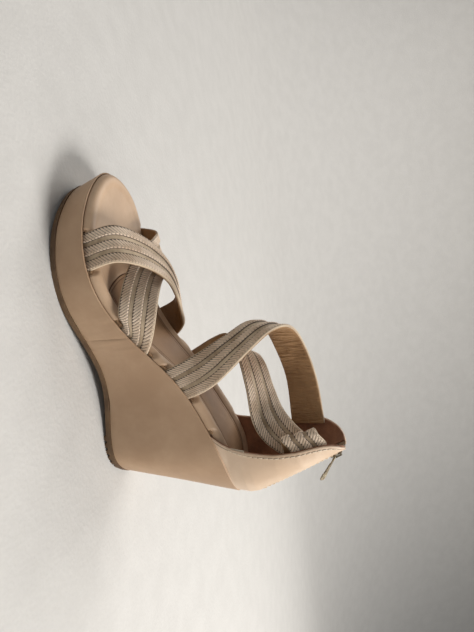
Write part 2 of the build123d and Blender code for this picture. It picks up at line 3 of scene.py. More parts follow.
import bpy
import numpy as np
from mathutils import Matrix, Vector


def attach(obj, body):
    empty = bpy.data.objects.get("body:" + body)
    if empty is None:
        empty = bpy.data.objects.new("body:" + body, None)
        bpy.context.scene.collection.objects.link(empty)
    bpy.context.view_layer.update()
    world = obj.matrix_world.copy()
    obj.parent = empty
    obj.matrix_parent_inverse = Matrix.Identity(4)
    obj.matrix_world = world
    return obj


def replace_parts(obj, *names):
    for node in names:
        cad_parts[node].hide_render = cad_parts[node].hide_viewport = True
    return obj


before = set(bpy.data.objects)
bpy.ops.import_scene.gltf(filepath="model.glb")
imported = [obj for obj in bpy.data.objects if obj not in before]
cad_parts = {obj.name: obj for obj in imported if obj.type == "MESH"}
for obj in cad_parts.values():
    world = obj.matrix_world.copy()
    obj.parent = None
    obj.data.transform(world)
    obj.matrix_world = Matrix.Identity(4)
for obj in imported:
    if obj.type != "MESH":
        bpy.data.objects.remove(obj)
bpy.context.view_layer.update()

MM = 0.001
LENGTH = 232.0
BACK = -LENGTH / 2


# ---- mesh helpers
def unit(vectors):
    """Vectors at unit length, along the last axis."""
    return vectors / np.maximum(np.linalg.norm(vectors, axis=-1, keepdims=True), 1e-9)


def place(distance, side, height):
    """Point in the part's frame, from a distance in front of the heel's back."""
    return (BACK + distance, side, height)


def smoothstep(low, high, value):
    """0 below low, 1 above high, and smooth between."""
    t = np.clip((value - low) / (high - low), 0, 1)
    return t * t * (3 - 2 * t)


def rounded(depth, radius):
    """Share of the full height at this depth inside an edge rounded by radius."""
    t = np.clip(depth / radius, 0, 1)
    return np.sqrt(np.maximum(1 - (1 - t) ** 2, 0))


def spaced(length, step, radius):
    """Fractions along a length, close together near both ends for a rounded edge."""
    ends = radius * np.array([0, 0.04, 0.15, 0.35, 0.62, 1.0])
    middle = np.linspace(radius, length - radius, max(2, int((length - 2 * radius) / step)))
    return np.concatenate([ends[:-1], middle, length - ends[-2::-1]]) / length


def spline(points, samples, closed=False):
    """Points at sample parameters 0..1 on the cubic spline through points."""
    points = np.asarray(points, float)
    if closed:
        points = np.vstack([points, points[:1]])
    gaps = np.linalg.norm(np.diff(points, axis=0), axis=1)
    knots = np.concatenate([[0], np.cumsum(gaps)])
    n = len(points)
    matrix = np.zeros((n, n))
    target = np.zeros_like(points)
    slopes = np.diff(points, axis=0) / gaps[:, None]
    for i in range(1, n - 1):
        matrix[i, i - 1 : i + 2] = gaps[i - 1], 2 * (gaps[i - 1] + gaps[i]), gaps[i]
        target[i] = 6 * (slopes[i] - slopes[i - 1])
    matrix[0, 0] = matrix[-1, -1] = 1
    if closed:
        matrix[0, -1] = -1
        matrix[-1, :] = 0
        matrix[-1, 0], matrix[-1, 1] = 2 * gaps[0], gaps[0]
        matrix[-1, -1], matrix[-1, -2] = 2 * gaps[-1], gaps[-1]
        target[-1] = 6 * (slopes[0] - slopes[-1])
    bends = np.linalg.solve(matrix, target)
    at_knots = np.clip(samples, 0, 1) * knots[-1]
    i = np.clip(np.searchsorted(knots, at_knots, side="right") - 1, 0, n - 2)
    g = gaps[i][:, None]
    u = ((at_knots - knots[i])[:, None]) / g
    v = 1 - u
    return v * points[i] + u * points[i + 1] + ((v**3 - v) * bends[i] + (u**3 - u) * bends[i + 1]) * g * g / 6


def quads_of(index):
    """Faces between neighbours in a grid of vertex numbers."""
    return np.stack([index[:-1, :-1], index[1:, :-1], index[1:, 1:], index[:-1, 1:]], -1).reshape(-1, 4)


def strip(a, b):
    """Faces between two lines of vertex numbers."""
    return np.stack([a[:-1], a[1:], b[1:], b[:-1]], -1)


def piece(name, points, faces, material, body, values=None, sharp=40.0):
    """Mesh object from points in millimetres, riding on a body."""
    points = np.asarray(points, float)
    faces = np.asarray(faces)
    a, b, c = (points[faces[:, i]] for i in range(3))
    d = points[faces[:, -1]]
    volume = (a * (np.cross(b, c) + np.cross(c, d))).sum()
    if volume < 0:
        faces = faces[:, ::-1]
    mesh = bpy.data.meshes.new(name)
    mesh.from_pydata((points * MM).tolist(), [], faces.tolist())
    for key, value in (values or {}).items():
        attribute = mesh.attributes.new(key, "FLOAT", "POINT")
        attribute.data.foreach_set("value", np.asarray(value, np.float32).ravel())
    mesh.shade_smooth()
    mesh.set_sharp_from_angle(angle=radians(sharp))
    mesh.materials.append(material)
    made = bpy.data.objects.new(name, mesh)
    bpy.context.scene.collection.objects.link(made)
    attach(made, body)
    return made


def shell_faces(rows, cols, closed=False, start=0):
    """Faces of a solid between two grids of points, numbered from start, the upper first."""
    top = start + np.arange(rows * cols).reshape(rows, cols)
    low = top + rows * cols
    if closed:
        top = np.vstack([top, top[:1]])
        low = np.vstack([low, low[:1]])
    faces = [quads_of(top), quads_of(low)[:, ::-1]]
    faces += [strip(low[:, 0], top[:, 0]), strip(top[:, -1], low[:, -1])]
    if not closed:
        faces += [strip(top[0], low[0]), strip(low[-1], top[-1])]
    return faces


def slab(name, upper, lower, material, slot, values=None, closed=False, body="sandal"):
    """Closed solid between two grids of points. closed joins the last row to the first."""
    faces = shell_faces(*upper.shape[:2], closed)
    both = {key: np.concatenate([np.ravel(v), np.ravel(v)]) for key, v in (values or {}).items()}
    points = np.concatenate([upper.reshape(-1, 3), lower.reshape(-1, 3)])
    return piece(name, points, np.concatenate(faces), material, body, both)


def grid_normals(grid, closed=False):
    """Unit normals of a grid of points."""
    if closed:
        along = np.roll(grid, -1, axis=0) - np.roll(grid, 1, axis=0)
    else:
        along = np.gradient(grid, axis=0)
    return unit(np.cross(along, np.gradient(grid, axis=1)))


def tubes(name, lines, ups, radius, material, flat=1.0, body="sandal", sides=8):
    """Round-ended rods along lines of points, squashed by flat along ups, as one piece."""
    points = []
    faces = []
    turn = np.linspace(0, 2 * pi, sides, endpoint=False)
    for i, line in enumerate(lines):
        line = np.asarray(line, float)
        ahead = unit(np.gradient(line, axis=0))
        across = unit(np.cross(ahead, np.broadcast_to(ups[i], line.shape)))
        up = np.cross(across, ahead)
        caps = [(share, sqrt(max(1 - (1 - share) ** 2, 0.0004))) for share in (0.0, 0.55, 0.85, 1.0)]
        stations = [(line[0] + ahead[0] * radius * (s - 1), r, 0) for s, r in caps]
        stations += [(line[j], 1.0, j) for j in range(1, len(line) - 1)]
        stations += [(line[-1] - ahead[-1] * radius * (s - 1), r, -1) for s, r in caps[::-1]]
        rings = []
        for centre, scale, j in stations:
            ring = np.outer(np.cos(turn), across[j]) + flat * np.outer(np.sin(turn), up[j])
            rings.append(centre + radius * scale * ring)
        start = sum(len(p) for p in points)
        rings = np.array(rings)
        index = start + np.arange(len(rings) * sides).reshape(len(rings), sides)
        points.append(rings.reshape(-1, 3))
        faces.append(quads_of(np.hstack([index, index[:, :1]])))
        for ring, step in ((index[0], 1), (index[-1], -1)):
            half = sides // 2
            for k in range(half - 1):
                quad = [ring[k], ring[k + 1], ring[sides - k - 2], ring[sides - k - 1]]
                faces.append(np.array([quad[::step]]))
    return piece(name, np.concatenate(points), np.concatenate(faces), material, body)


def arc_length(line):
    """Distance along a line of points at each of them."""
    return np.concatenate([[0], np.cumsum(np.linalg.norm(np.diff(line, axis=0), axis=1))])


def ripples(x, y, scale, seed, count=9):
    """Smooth random field from -1 to 1, about scale wide."""
    random = np.random.default_rng(seed)
    total = np.zeros(np.broadcast(x, y).shape)
    for _ in range(count):
        angle = random.uniform(0, 2 * pi)
        size = scale * random.uniform(0.7, 1.8)
        total = total + np.sin(2 * pi * (x * cos(angle) + y * sin(angle)) / size + random.uniform(0, 2 * pi))
    return total / count**0.5 / 1.4


# ---- materials
class Nodes:
    """Short way to build a material's node tree."""

    def __init__(self, name):
        self.material = bpy.data.materials.new(name)
        self.material.use_nodes = True
        self.tree = self.material.node_tree
        self.shader = self.tree.nodes["Principled BSDF"]

    def add(self, kind, settings=None, **inputs):
        node = self.tree.nodes.new("ShaderNode" + kind)
        for key, value in (settings or {}).items():
            setattr(node, key, value)
        for key, value in inputs.items():
            self.feed(node.inputs[key], value)
        return node

    def feed(self, socket, value):
        if isinstance(value, bpy.types.NodeSocket):
            self.tree.links.new(value, socket)
        else:
            socket.default_value = value

    def place(self, scale):
        """Object-space coordinates, in millimetres times scale."""
        where = self.add("TexCoord").outputs["Object"]
        return self.add("Mapping", Vector=where, Scale=[1000 * s for s in scale]).outputs["Vector"]

    def noise(self, size, detail=3.0, roughness=0.5, stretch=(1, 1, 1)):
        """Noise about size millimetres wide, 0 to 1."""
        node = self.add("TexNoise", Vector=self.place([s / size for s in stretch]), Scale=1.0, Detail=detail)
        self.feed(node.inputs["Roughness"], roughness)
        return node.outputs["Fac"]

    def cells(self, size):
        """Distance field of cells about size millimetres wide."""
        return self.add("TexVoronoi", Vector=self.place((1 / size,) * 3), Scale=1.0).outputs["Distance"]

    def value(self, name):
        """A number stored on the mesh."""
        return self.add("Attribute", {"attribute_name": name}).outputs["Fac"]

    def maths(self, kind, a, b=0.0, c=0.0):
        node = self.add("Math", {"operation": kind})
        for socket, value in zip(node.inputs, (a, b, c)):
            self.feed(socket, value)
        return node.outputs[0]

    def ridges(self, value, pitch):
        """Round ridges one pitch apart, 0 to 1."""
        return self.maths("ABSOLUTE", self.maths("SINE", self.maths("MULTIPLY", value, pi / pitch)))

    def span(self, value, low, high, out_low=0.0, out_high=1.0):
        """Value moved from low..high to out_low..out_high and kept there."""
        node = self.add("MapRange", {"interpolation_type": "SMOOTHSTEP"}, Value=value)
        for key, number in zip(("From Min", "From Max", "To Min", "To Max"), (low, high, out_low, out_high)):
            self.feed(node.inputs[key], number)
        return node.outputs[0]

    def mix(self, factor, a, b):
        node = self.add("Mix", {"data_type": "RGBA"})
        for socket, value in ((node.inputs[0], factor), (node.inputs[6], a), (node.inputs[7], b)):
            self.feed(socket, value)
        return node.outputs[2]

    def tint(self, colour, towards, value, low, high, most=1.0):
        """Colour moved towards another as value goes from low to high."""
        return self.mix(self.span(value, low, high, 0.0, most), colour, towards)

    def bumps(self, *layers):
        """Normal bent by layers of (height, distance in millimetres, strength)."""
        normal = None
        for height, distance, strength in layers:
            node = self.add("Bump", Height=height, Distance=distance * MM, Strength=strength)
            if normal:
                self.feed(node.inputs["Normal"], normal)
            normal = node.outputs["Normal"]
        return normal

    def finish(self, colour, roughness, normal, **constants):
        self.feed(self.shader.inputs["Base Color"], colour)
        self.feed(self.shader.inputs["Roughness"], roughness)
        self.feed(self.shader.inputs["Normal"], normal)
        for key, value in constants.items():
            self.shader.inputs[key.replace("_", " ")].default_value = value
        return self.material


def shade(red, green, blue):
    """Linear colour from the usual 0..255 values."""
    linear = [((c / 255 + 0.055) / 1.055) ** 2.4 for c in (red, green, blue)]
    return (*linear, 1.0)


# Colour of the painted shade in grooves along seams, stitch lines and pressed lines.
PAINTED_GROOVE_SHADE = shade(84, 60, 42)


def leather(name, light, dark, grain, depth, gloss, scuff, creases=0.0, seam=False):
    """Dyed leather: clouded colour, pebbled grain, faint scratches and optional creases.
    seam paints shade into it where the mesh's seam value is high: painted shade in the grooves along seams,
    stitch lines and pressed lines."""
    n = Nodes(name)
    cloud = n.noise(38, 4.0, 0.6)
    spots = n.noise(5, 5.0, 0.65)
    colour = n.tint(dark, light, cloud, 0.3, 0.72)
    colour = n.tint(colour, dark, spots, 0.35, 0.8, 0.22)
    pores = n.cells(grain)
    colour = n.tint(colour, dark, pores, 0.55, 0.95, 0.16)
    scratch = n.noise(2.2, 2.0, 0.5, stretch=(0.16, 1.0, 1.0))
    marks = n.span(scratch, 0.66, 0.78, 0.0, scuff)
    if seam:
        # Painted shade: darker in the grooves that the mesh's seam value marks.
        colour = n.tint(colour, PAINTED_GROOVE_SHADE, n.value("seam"), 0.1, 1.0, 0.75)
    colour = n.mix(n.maths("MULTIPLY", marks, 0.25), colour, light)
    rough = n.span(cloud, 0.25, 0.75, gloss - 0.06, gloss + 0.08)
    rough = n.maths("ADD", rough, n.maths("MULTIPLY", marks, 0.12))
    layers = [(pores, depth, 0.55), (n.noise(grain * 0.45, 3.0, 0.6), depth * 0.5, 0.5)]
    if creases:
        wrinkle = n.noise(7.0, 3.0, 0.55, stretch=(0.35, 1.0, 1.0))
        layers.append((n.span(wrinkle, 0.42, 0.6), creases, 0.6))
    return n.finish(colour, rough, n.bumps(*layers), Specular_IOR_Level=0.42)


def suede(name, light, dark):
    """Napped lining: blotched colour, short fibres and rubbed patches."""
    n = Nodes(name)
    patches = n.noise(11, 4.0, 0.65)
    nap = n.noise(0.55, 4.0, 0.7)
    fibre = n.noise(0.28, 2.0, 0.6, stretch=(1.0, 1.0, 0.3))
    colour = n.tint(dark, light, patches, 0.3, 0.72)
    colour = n.tint(colour, dark, nap, 0.35, 0.7, 0.4)
    normal = n.bumps((nap, 0.12, 0.7), (fibre, 0.05, 0.6))
    rough = n.span(patches, 0.3, 0.7, 0.78, 0.94)
    return n.finish(colour, rough, normal, Specular_IOR_Level=0.25, Sheen_Weight=0.12)


def threads(name, light, dark, gap):
    """Elastic braid: twisted yarn, with painted shade that darkens it towards the gap colour where the mesh's
    lift value is low and leaves it light where lift is high.
    """
    n = Nodes(name)
    lift = n.value("lift")
    along = n.value("along")
    across = n.value("across")
    twist = n.maths("ADD", n.maths("MULTIPLY", along, 2.6), n.maths("MULTIPLY", across, -3.4))
    yarn = n.ridges(twist, 1.0)
    fuzz = n.noise(0.35, 3.0, 0.65)
    wear = n.noise(14, 3.0, 0.55)
    colour = n.tint(dark, light, wear, 0.3, 0.7)
    colour = n.mix(n.span(yarn, 0.0, 0.5, 0.32, 0.0), colour, dark)
    # Painted shade: the gap colour fills the dips and notches where lift is low.
    colour = n.mix(n.span(lift, 0.08, 0.8, 0.97, 0.0), colour, gap)
    colour = n.tint(colour, light, fuzz, 0.4, 0.75, 0.2)
    normal = n.bumps((yarn, 0.08, 0.55), (fuzz, 0.05, 0.5))
    rough = n.span(fuzz, 0.3, 0.7, 0.52, 0.72)
    return n.finish(colour, rough, normal, Specular_IOR_Level=0.4, Sheen_Weight=0.15)


def knit(name, light, dark):
    """Flat elastic webbing: fine knitted columns with a taupe cast."""
    n = Nodes(name)
    along = n.value("along")
    across = n.value("across")
    rows = n.ridges(along, 0.5)
    columns = n.ridges(across, 0.62)
    weave = n.maths("MULTIPLY", rows, columns)
    fuzz = n.noise(0.4, 3.0, 0.65)
    wear = n.noise(12, 3.0, 0.55)
    colour = n.tint(dark, light, wear, 0.3, 0.7)
    colour = n.mix(n.span(weave, 0.05, 0.6, 0.45, 0.0), colour, dark)
    # Painted highlight: lighter along the raised rolled back edge that the mesh's lift value marks.
    colour = n.mix(n.span(n.value("lift"), 0.0, 1.0), colour, light)
    normal = n.bumps((weave, 0.08, 0.6), (fuzz, 0.04, 0.5))
    rough = n.span(fuzz, 0.3, 0.7, 0.6, 0.8)
    return n.finish(colour, rough, normal, Specular_IOR_Level=0.35, Sheen_Weight=0.12)


def metal(name, light, dark, rough=0.34, pitting=0.5):
    """Cast metal with tarnish in the hollows, fine scratches and dull spots."""
    n = Nodes(name)
    tarnish = n.noise(2.4, 5.0, 0.7)
    grains = n.noise(0.5, 3.0, 0.6)
    lines = n.noise(0.9, 2.0, 0.5, stretch=(0.12, 1.0, 1.0))
    colour = n.mix(n.span(tarnish, 0.34, 0.68), light, dark)
    colour = n.tint(colour, dark, grains, 0.55, 0.8, pitting)
    dull = n.span(tarnish, 0.3, 0.7, rough, rough + 0.2)
    roughness = n.maths("ADD", dull, n.span(lines, 0.6, 0.8, 0.0, 0.12))
    normal = n.bumps((grains, 0.03, 0.5), (lines, 0.02, 0.4))
    return n.finish(colour, roughness, normal, Metallic=1.0)


def rubber(name, light, dark):
    """Moulded outsole: matt, speckled, with dust in the low spots and scuffs."""
    n = Nodes(name)
    cloud = n.noise(16, 4.0, 0.6)
    speck = n.noise(0.9, 4.0, 0.7)
    scuff = n.noise(3.5, 2.0, 0.5, stretch=(0.2, 1.0, 1.0))
    colour = n.tint(dark, light, cloud, 0.3, 0.7)
    colour = n.tint(colour, light, speck, 0.55, 0.75, 0.4)
    colour = n.tint(colour, light, scuff, 0.6, 0.75, 0.35)
    normal = n.bumps((speck, 0.1, 0.5), (scuff, 0.08, 0.4))
    return n.finish(colour, n.span(cloud, 0.3, 0.7, 0.6, 0.8), normal, Specular_IOR_Level=0.35)


def fibres(name, light, dark, size, direction=(1.0, 1.0, 1.0), rough=0.85):
    """Pressed fibre, foam or cloth: clouded, with short fibres or cells."""
    n = Nodes(name)
    cloud = n.noise(9 * size, 4.0, 0.6)
    hair = n.noise(size, 4.0, 0.7, stretch=direction)
    pores = n.cells(size)
    colour = n.tint(dark, light, cloud, 0.3, 0.7)
    colour = n.tint(colour, dark, hair, 0.4, 0.75, 0.5)
    normal = n.bumps((hair, size * 0.15, 0.6), (pores, size * 0.12, 0.4))
    return n.finish(colour, n.span(hair, 0.3, 0.7, rough - 0.08, rough + 0.06), normal)


WRAP_LEATHER = leather("wrap_leather", shade(188, 157, 127), shade(172, 140, 110), 0.7, 0.035, 0.5, 0.35)
RIM_LEATHER = leather(
    "rim_leather", shade(201, 172, 143), shade(183, 152, 122), 0.8, 0.05, 0.48, 0.5, 0.05, True
)
SOCK_LEATHER = leather(
    "sock_leather", shade(174, 141, 108), shade(146, 112, 80), 0.8, 0.06, 0.56, 0.6, 0.06, True
)
COUNTER_LEATHER = leather(
    "counter_leather", shade(226, 202, 177), shade(208, 180, 152), 0.9, 0.06, 0.46, 0.5, 0.08, True
)
STRAP_LINING = leather("strap_lining", shade(170, 133, 93), shade(128, 94, 60), 1.0, 0.1, 0.55, 0.5, 0.3)
COUNTER_LINING = suede("counter_lining", shade(168, 120, 92), shade(128, 88, 64))
# The third colour is the painted shade in the braid's dips and notches.
BRAID = threads("braid", shade(240, 218, 194), shade(204, 177, 149), shade(52, 36, 24))
WEBBING = knit("webbing", shade(214, 193, 165), shade(158, 134, 107))
STITCH = fibres("stitching", shade(240, 226, 204), shade(220, 200, 172), 0.4, (1.0, 1.0, 0.3), 0.6)
BRONZE = metal("aged_bronze", shade(160, 148, 126), shade(84, 73, 58))
TEETH = metal("zip_metal", shade(186, 170, 140), shade(110, 94, 70))
STEEL = metal("steel", shade(190, 190, 192), shade(120, 118, 116), 0.3)
TAPE = fibres("zip_tape", shade(176, 150, 122), shade(140, 114, 88), 0.5, (1.0, 1.0, 0.2))
OUTSOLE = rubber("outsole_rubber", shade(124, 98, 72), shade(92, 70, 50))
CORE = fibres("wedge_core", shade(132, 104, 76), shade(96, 72, 50), 1.6)
BOARD = fibres("insole_board", shade(170, 138, 104), shade(132, 102, 74), 0.8, (0.3, 1.0, 1.0))
FOAM = fibres("footbed_foam", shade(236, 230, 214), shade(214, 204, 182), 0.9)
STIFFENER = fibres("heel_stiffener", shade(224, 216, 200), shade(190, 178, 156), 0.7, (1.0, 1.0, 0.3))

# ---- the wedge's lines
# Points round the wedge at the ground: distance, side, and how far the wall there leans
# forward and inward between the ground and the feather line.
PLAN = [
    (0, 0, 18.7, 0),
    (12, 14.1, 14.0, 0.4),
    (30, 21.6, 6.0, 1.0),
    (60, 23.6, 0, 4.0),
    (95, 26.3, 0, 6.0),
    (130, 35.7, 0, 3.5),
    (155, 41.4, 0, 1.6),
    (178, 41.4, 0, 1.6),
    (200, 34.1, -1.5, 1.8),
    (216, 22.6, -4.5, 1.5),
    (228.5, 7.0, -7.5, 0.8),
    (232, -6, -8.5, 0),
    (228, -20, -7.5, -0.8),
    (216, -33.9, -4.5, -1.5),
    (200, -41.1, -1.5, -1.8),
    (178, -42.1, 0, -1.6),
    (155, -36.2, 0, -1.6),
    (130, -27.9, 0, -3.0),
    (95, -22.8, 0, -5.0),
    (60, -25.8, 0, -4.0),
    (30, -27.9, 6.0, -1.0),
    (12, -20.0, 14.0, -0.4),
]
# The feather line, where the footbed meets the wrap: distance, height.
FEATHER = [
    (-12, 88.2), (0, 87.6), (30, 85.2), (60, 76.0), (90, 62.3), (120, 42.1),
    (150, 28.5), (180, 24.4), (210, 24.4), (232, 25.3), (245, 26.0),
]
# The outsole's underside: distance, height.
TREAD = [
    (-12, 2.0), (54, 2.0), (62, 2.7), (78, 5.3), (95, 6.5), (112, 5.2), (130, 3.0), (145, 0.9),
    (158, 0.0), (176, 0.0), (188, 0.6), (200, 1.6), (216, 2.7), (232, 3.5), (245, 4.2),
]
OUTSOLE_THICK = 3.5
PLAN_TOP = 110.0  # height of the upper of the two outlines that the wall runs between
SEAM = 124.0  # distance of the seam between the two wrap leathers
AROUND = 1400  # stations round the wedge
feather_line = spline(FEATHER, np.linspace(0, 1, 600))


def feather(x):
    """Height of the feather line at x."""
    return np.interp(x - BACK, feather_line[:, 0], feather_line[:, 1])


def tread(x):
    """Height of the outsole's top at x."""
    return np.interp(x - BACK, *np.array(TREAD).T) + OUTSOLE_THICK


def line_height(distance):
    """Height of the feather line, straight between its listed points."""
    return np.interp(distance, *np.array(FEATHER).T)


ground_plan = []
top_plan = []
for distance, side, forward, inward in PLAN:
    rise = PLAN_TOP / line_height(distance)
    ground_plan.append((BACK + distance + forward, side - inward))
    top_plan.append((BACK + distance + forward * (1 - rise), side - inward * (1 - rise)))
turns = np.linspace(0, 1, AROUND, endpoint=False)
ground_line = spline(ground_plan, turns, closed=True)
top_line = spline(top_plan, turns, closed=True)


def outline(height, inset=0.0):
    """The wedge's outline at a height for each station round it, moved inward by inset."""
    share = np.asarray(height, float) / PLAN_TOP
    share = np.broadcast_to(share, (AROUND,))[:, None]
    line = ground_line * (1 - share) + top_line * share
    ahead = unit(np.roll(line, -1, axis=0) - np.roll(line, 1, axis=0))
    inward = np.stack([ahead[:, 1], -ahead[:, 0]], -1)
    return line + inward * np.broadcast_to(inset, (AROUND,))[:, None]


def wall(height_of, inset=0.0):
    """Points round the wedge at the height that height_of gives for their x."""
    height = np.full(AROUND, 40.0)
    for _ in range(4):
        height = height_of(outline(height)[:, 0])
    line = outline(height, inset)
    return np.column_stack([line, np.broadcast_to(height, (AROUND,))])


# ---- wrap of the wedge
WRAP = 1.2
BEAD = 0.75  # how far the rolled top edge turns in
SEAM_DIP = 0.2


def wrap_sections():
    """Outer and inner points of the wrap, from its foot to the rolled top edge."""
    foot = wall(lambda x: tread(x) + 0.05)
    head = wall(feather)
    shares = spaced(40, 1.2, 1.5)
    outer = []
    inner = []
    for share in shares:
        height = foot[:, 2] * (1 - share) + (head[:, 2] - 1.4) * share
        outer.append(np.column_stack([outline(height), height]))
        inner.append(np.column_stack([outline(height, WRAP), height]))
    for turn in np.linspace(0, pi / 2, 7)[1:]:
        height = head[:, 2] - 1.1 + 1.1 * sin(turn)
        bulge = -0.18 * sin(2 * turn)
        outer.append(np.column_stack([outline(height, bulge + BEAD * (1 - cos(turn))), height]))
        inner.append(np.column_stack([outline(height, WRAP - (WRAP - BEAD) * (1 - cos(turn))), height]))
    return np.array(outer).transpose(1, 0, 2), np.array(inner).transpose(1, 0, 2)


wrap_outer, wrap_inner = wrap_sections()
wrap_normal = grid_normals(wrap_outer, closed=True)
if (wrap_normal[AROUND // 4, 5, 1] > 0) != (wrap_outer[AROUND // 4, 5, 1] > 0):
    wrap_normal = -wrap_normal
swell = 0.13 * ripples(wrap_outer[..., 0], wrap_outer[..., 2], 42, 3) - 0.1
wrap_distance = wrap_outer[..., 0] - BACK
near_seam = np.abs(wrap_distance - SEAM)
swell -= SEAM_DIP * np.exp(-((near_seam / 0.9) ** 2))
pulls = ripples(wrap_outer[..., 0] * 2.2, wrap_outer[..., 2] * 0.4, 9, 5)
swell += 0.1 * pulls * smoothstep(26, 6, near_seam)
wrap_outer = wrap_outer + wrap_normal * swell[..., None]

is_heel = wrap_outer[:, :, 0].mean(axis=1) - BACK < SEAM
order = np.arange(AROUND)
heel_start = order[is_heel & ~np.roll(is_heel, 1)][0]
rolled = np.roll(order, -heel_start)
heel_rows = rolled[is_heel[rolled]]
toe_rows = rolled[~is_heel[rolled]]


def to_seam(grid, side):
    """Rows of a wrap piece with both end rows moved onto the seam."""
    moved = grid.copy()
    for row, inward in ((0, 1), (-1, -2)):
        away = moved[row] - moved[inward]
        ahead = np.where(np.abs(away[:, 0]) < 1e-6, 1e-6, away[:, 0])
        step = (BACK + SEAM + side * 0.06 - moved[row, :, 0]) / ahead
        moved[row] = moved[row] + away * np.clip(step, -0.9, 3)[:, None]
    return moved


for node, rows, side in (("wrap_heel", heel_rows, -1), ("wrap_platform", toe_rows, 1)):
    sheets = (to_seam(grid[rows], side) for grid in (wrap_outer, wrap_inner))
    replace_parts(slab(node + "_leather", *sheets, WRAP_LEATHER, "wrap_leather"), node)

# ---- footbed
RIM_CROWN = 5.2
RIM_WIDTH = 9.2
COVER_INSET = 1.55
SOCK_END = 163.0
SOCK_RADIUS = 60.0
SOCK_LINE = 2.25  # depth of the pressed line inside the sock's edge
MIDDLE_DEPTH = 14.0  # further depth reckoned for the middle line
# Depths inside the footbed's edge where the cover's rings run, and inside the sock's edge.
COVER_DEPTHS = [
    0, 0.05, 0.2, 0.45, 0.8, 1.25, 1.8, 2.5, 3.3, 4.2,
    5.2, 6.2, 7.2, 7.8, 8.1, 8.4, 8.7, 9.0, 9.4, 10.2,
]
SOCK_DEPTHS = [0, 0.05, 0.16, 0.35, 0.6, 1.0, 1.5, 1.9, 2.1, 2.25, 2.4, 2.6, 3.0, 3.6, 4.6]
# Where the straps and the counter push the rim inward: side, start, end, inset.
PUSHED = [
    (1, -20, 53, 3.6),
    (-1, -20, 51, 3.6),
    (1, 77, 100, 4.4),
    (-1, 77, 100, 4.4),
    (1, 110, 134, 4.4),
    (-1, 110, 134, 4.4),
    (1, 169, 193, 4.6),
    (-1, 170, 193, 4.6),
]
PUSH_SLOPE = 3.4  # length over which the rim turns in and out again
rim_line = wall(feather)
rim_distance = rim_line[:, 0] - BACK
rim_inset = np.full(AROUND, COVER_INSET)
for side, start, end, inset in PUSHED:
    on_side = rim_line[:, 1] * side > -1.0 if start < 0 else rim_line[:, 1] * side > 0
    push = smoothstep(start - PUSH_SLOPE, start + 0.3, rim_distance)
    push = push * smoothstep(end + PUSH_SLOPE, end - 0.3, rim_distance)
    pushed = np.maximum(rim_inset, COVER_INSET + (inset - COVER_INSET) * push)
    rim_inset = np.where(on_side, pushed, rim_inset)


def crown(depth, dip_depth):
    """Height of the footbed above the feather line at this depth inside its edge."""
    roll = RIM_CROWN * rounded(depth, 4.6)
    dip = dip_depth * smoothstep(5.0, 10.0, depth)
    return roll - dip


def spine(points):
    """Points on the footbed's middle line that the rings close on."""
    x = np.clip(points[:, 0], BACK + 24, BACK + LENGTH - 30)
    middle = np.interp(x - BACK, [20, 95, 130, 180, 205], [-2.5, 1.0, 3.5, 0.0, -4.0])
    return np.column_stack([x, middle])


def footbed_ring(depth, inset=0.0):
    """Plan of the ring this deep inside the footbed's edge. A push fades towards the sock."""
    pushed = (rim_inset - COVER_INSET) * (1 - smoothstep(-1.0, RIM_WIDTH - 0.6, depth))
    return outline(rim_line[:, 2], COVER_INSET + pushed + depth + inset)


def footbed_rings(lift, inset=0.0):
    """Rings of the footbed's cover, with lift giving heights from depth and plan."""
    rings = []
    for depth in COVER_DEPTHS:
        plan = footbed_ring(depth, inset)
        rings.append(np.column_stack([plan, feather(plan[:, 0]) + lift(depth, plan)]))
    last = footbed_ring(COVER_DEPTHS[-1], inset)
    middle = spine(last)
    for share in np.linspace(0, 1, 9)[1:]:
        plan = last * (1 - share) + middle * share
        depth = COVER_DEPTHS[-1] + MIDDLE_DEPTH * share
        rings.append(np.column_stack([plan, feather(plan[:, 0]) + lift(depth, plan)]))
    return np.array(rings).transpose(1, 0, 2)


def sock_front(plan):
    """How far each point lies inside the sock's round front end."""
    reach = np.sqrt(np.maximum(SOCK_RADIUS**2 - plan[:, 1] ** 2, 1))
    return BACK + SOCK_END - SOCK_RADIUS + reach - plan[:, 0]


def cover_height(depth, plan):
    """Top of the footbed leather, with its rolled rim and the sock's shallow bed."""
    front = sock_front(plan)
    bed = smoothstep(RIM_WIDTH - 0.9, RIM_WIDTH - 0.1, depth) * smoothstep(-3.0, 5.0, front)
    fold = 0.1 * ripples(plan[:, 0], plan[:, 1], 13, 11)
    dip_depth = 1.1 + 1.3 * smoothstep(-14.0, 8.0, front)
    return crown(depth, dip_depth) - 0.5 * bed + fold * smoothstep(1.0, 4.0, depth)


def cover_base(depth, plan):
    """Underside of the footbed leather, turned down at the edge."""
    return np.full(AROUND, 0.15 + 1.45 * float(depth > 2.4))


cover_top = footbed_rings(cover_height)
cover_low = footbed_rings(cover_base, 0.02)
# Painted shade in the step where the rim drops to the sock's bed, carried by the seam value.
cover_groove_shade = np.zeros(cover_top.shape[:2])
cover_groove_shade[:, : len(COVER_DEPTHS)] = np.exp(-(((np.array(COVER_DEPTHS) - RIM_WIDTH + 0.2) / 0.45) ** 2))
cover_groove_shade *= smoothstep(-3.0, 3.0, sock_front(cover_top[:, len(COVER_DEPTHS) - 1]))[:, None]
cover = slab(
    "footbed_leather", cover_top, cover_low, RIM_LEATHER, "footbed_leather", {"seam": cover_groove_shade}, closed=True
)
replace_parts(cover, "footbed_cover", "footbed_foam")


def sock_plan(depth):
    """Ring of the sock, this deep inside its own edge, cut off round at the front."""
    plan = footbed_ring(RIM_WIDTH + depth)
    reach = np.sqrt(np.maximum((SOCK_RADIUS - depth) ** 2 - plan[:, 1] ** 2, 1))
    plan[:, 0] = np.minimum(plan[:, 0], BACK + SOCK_END - SOCK_RADIUS + reach)
    return plan


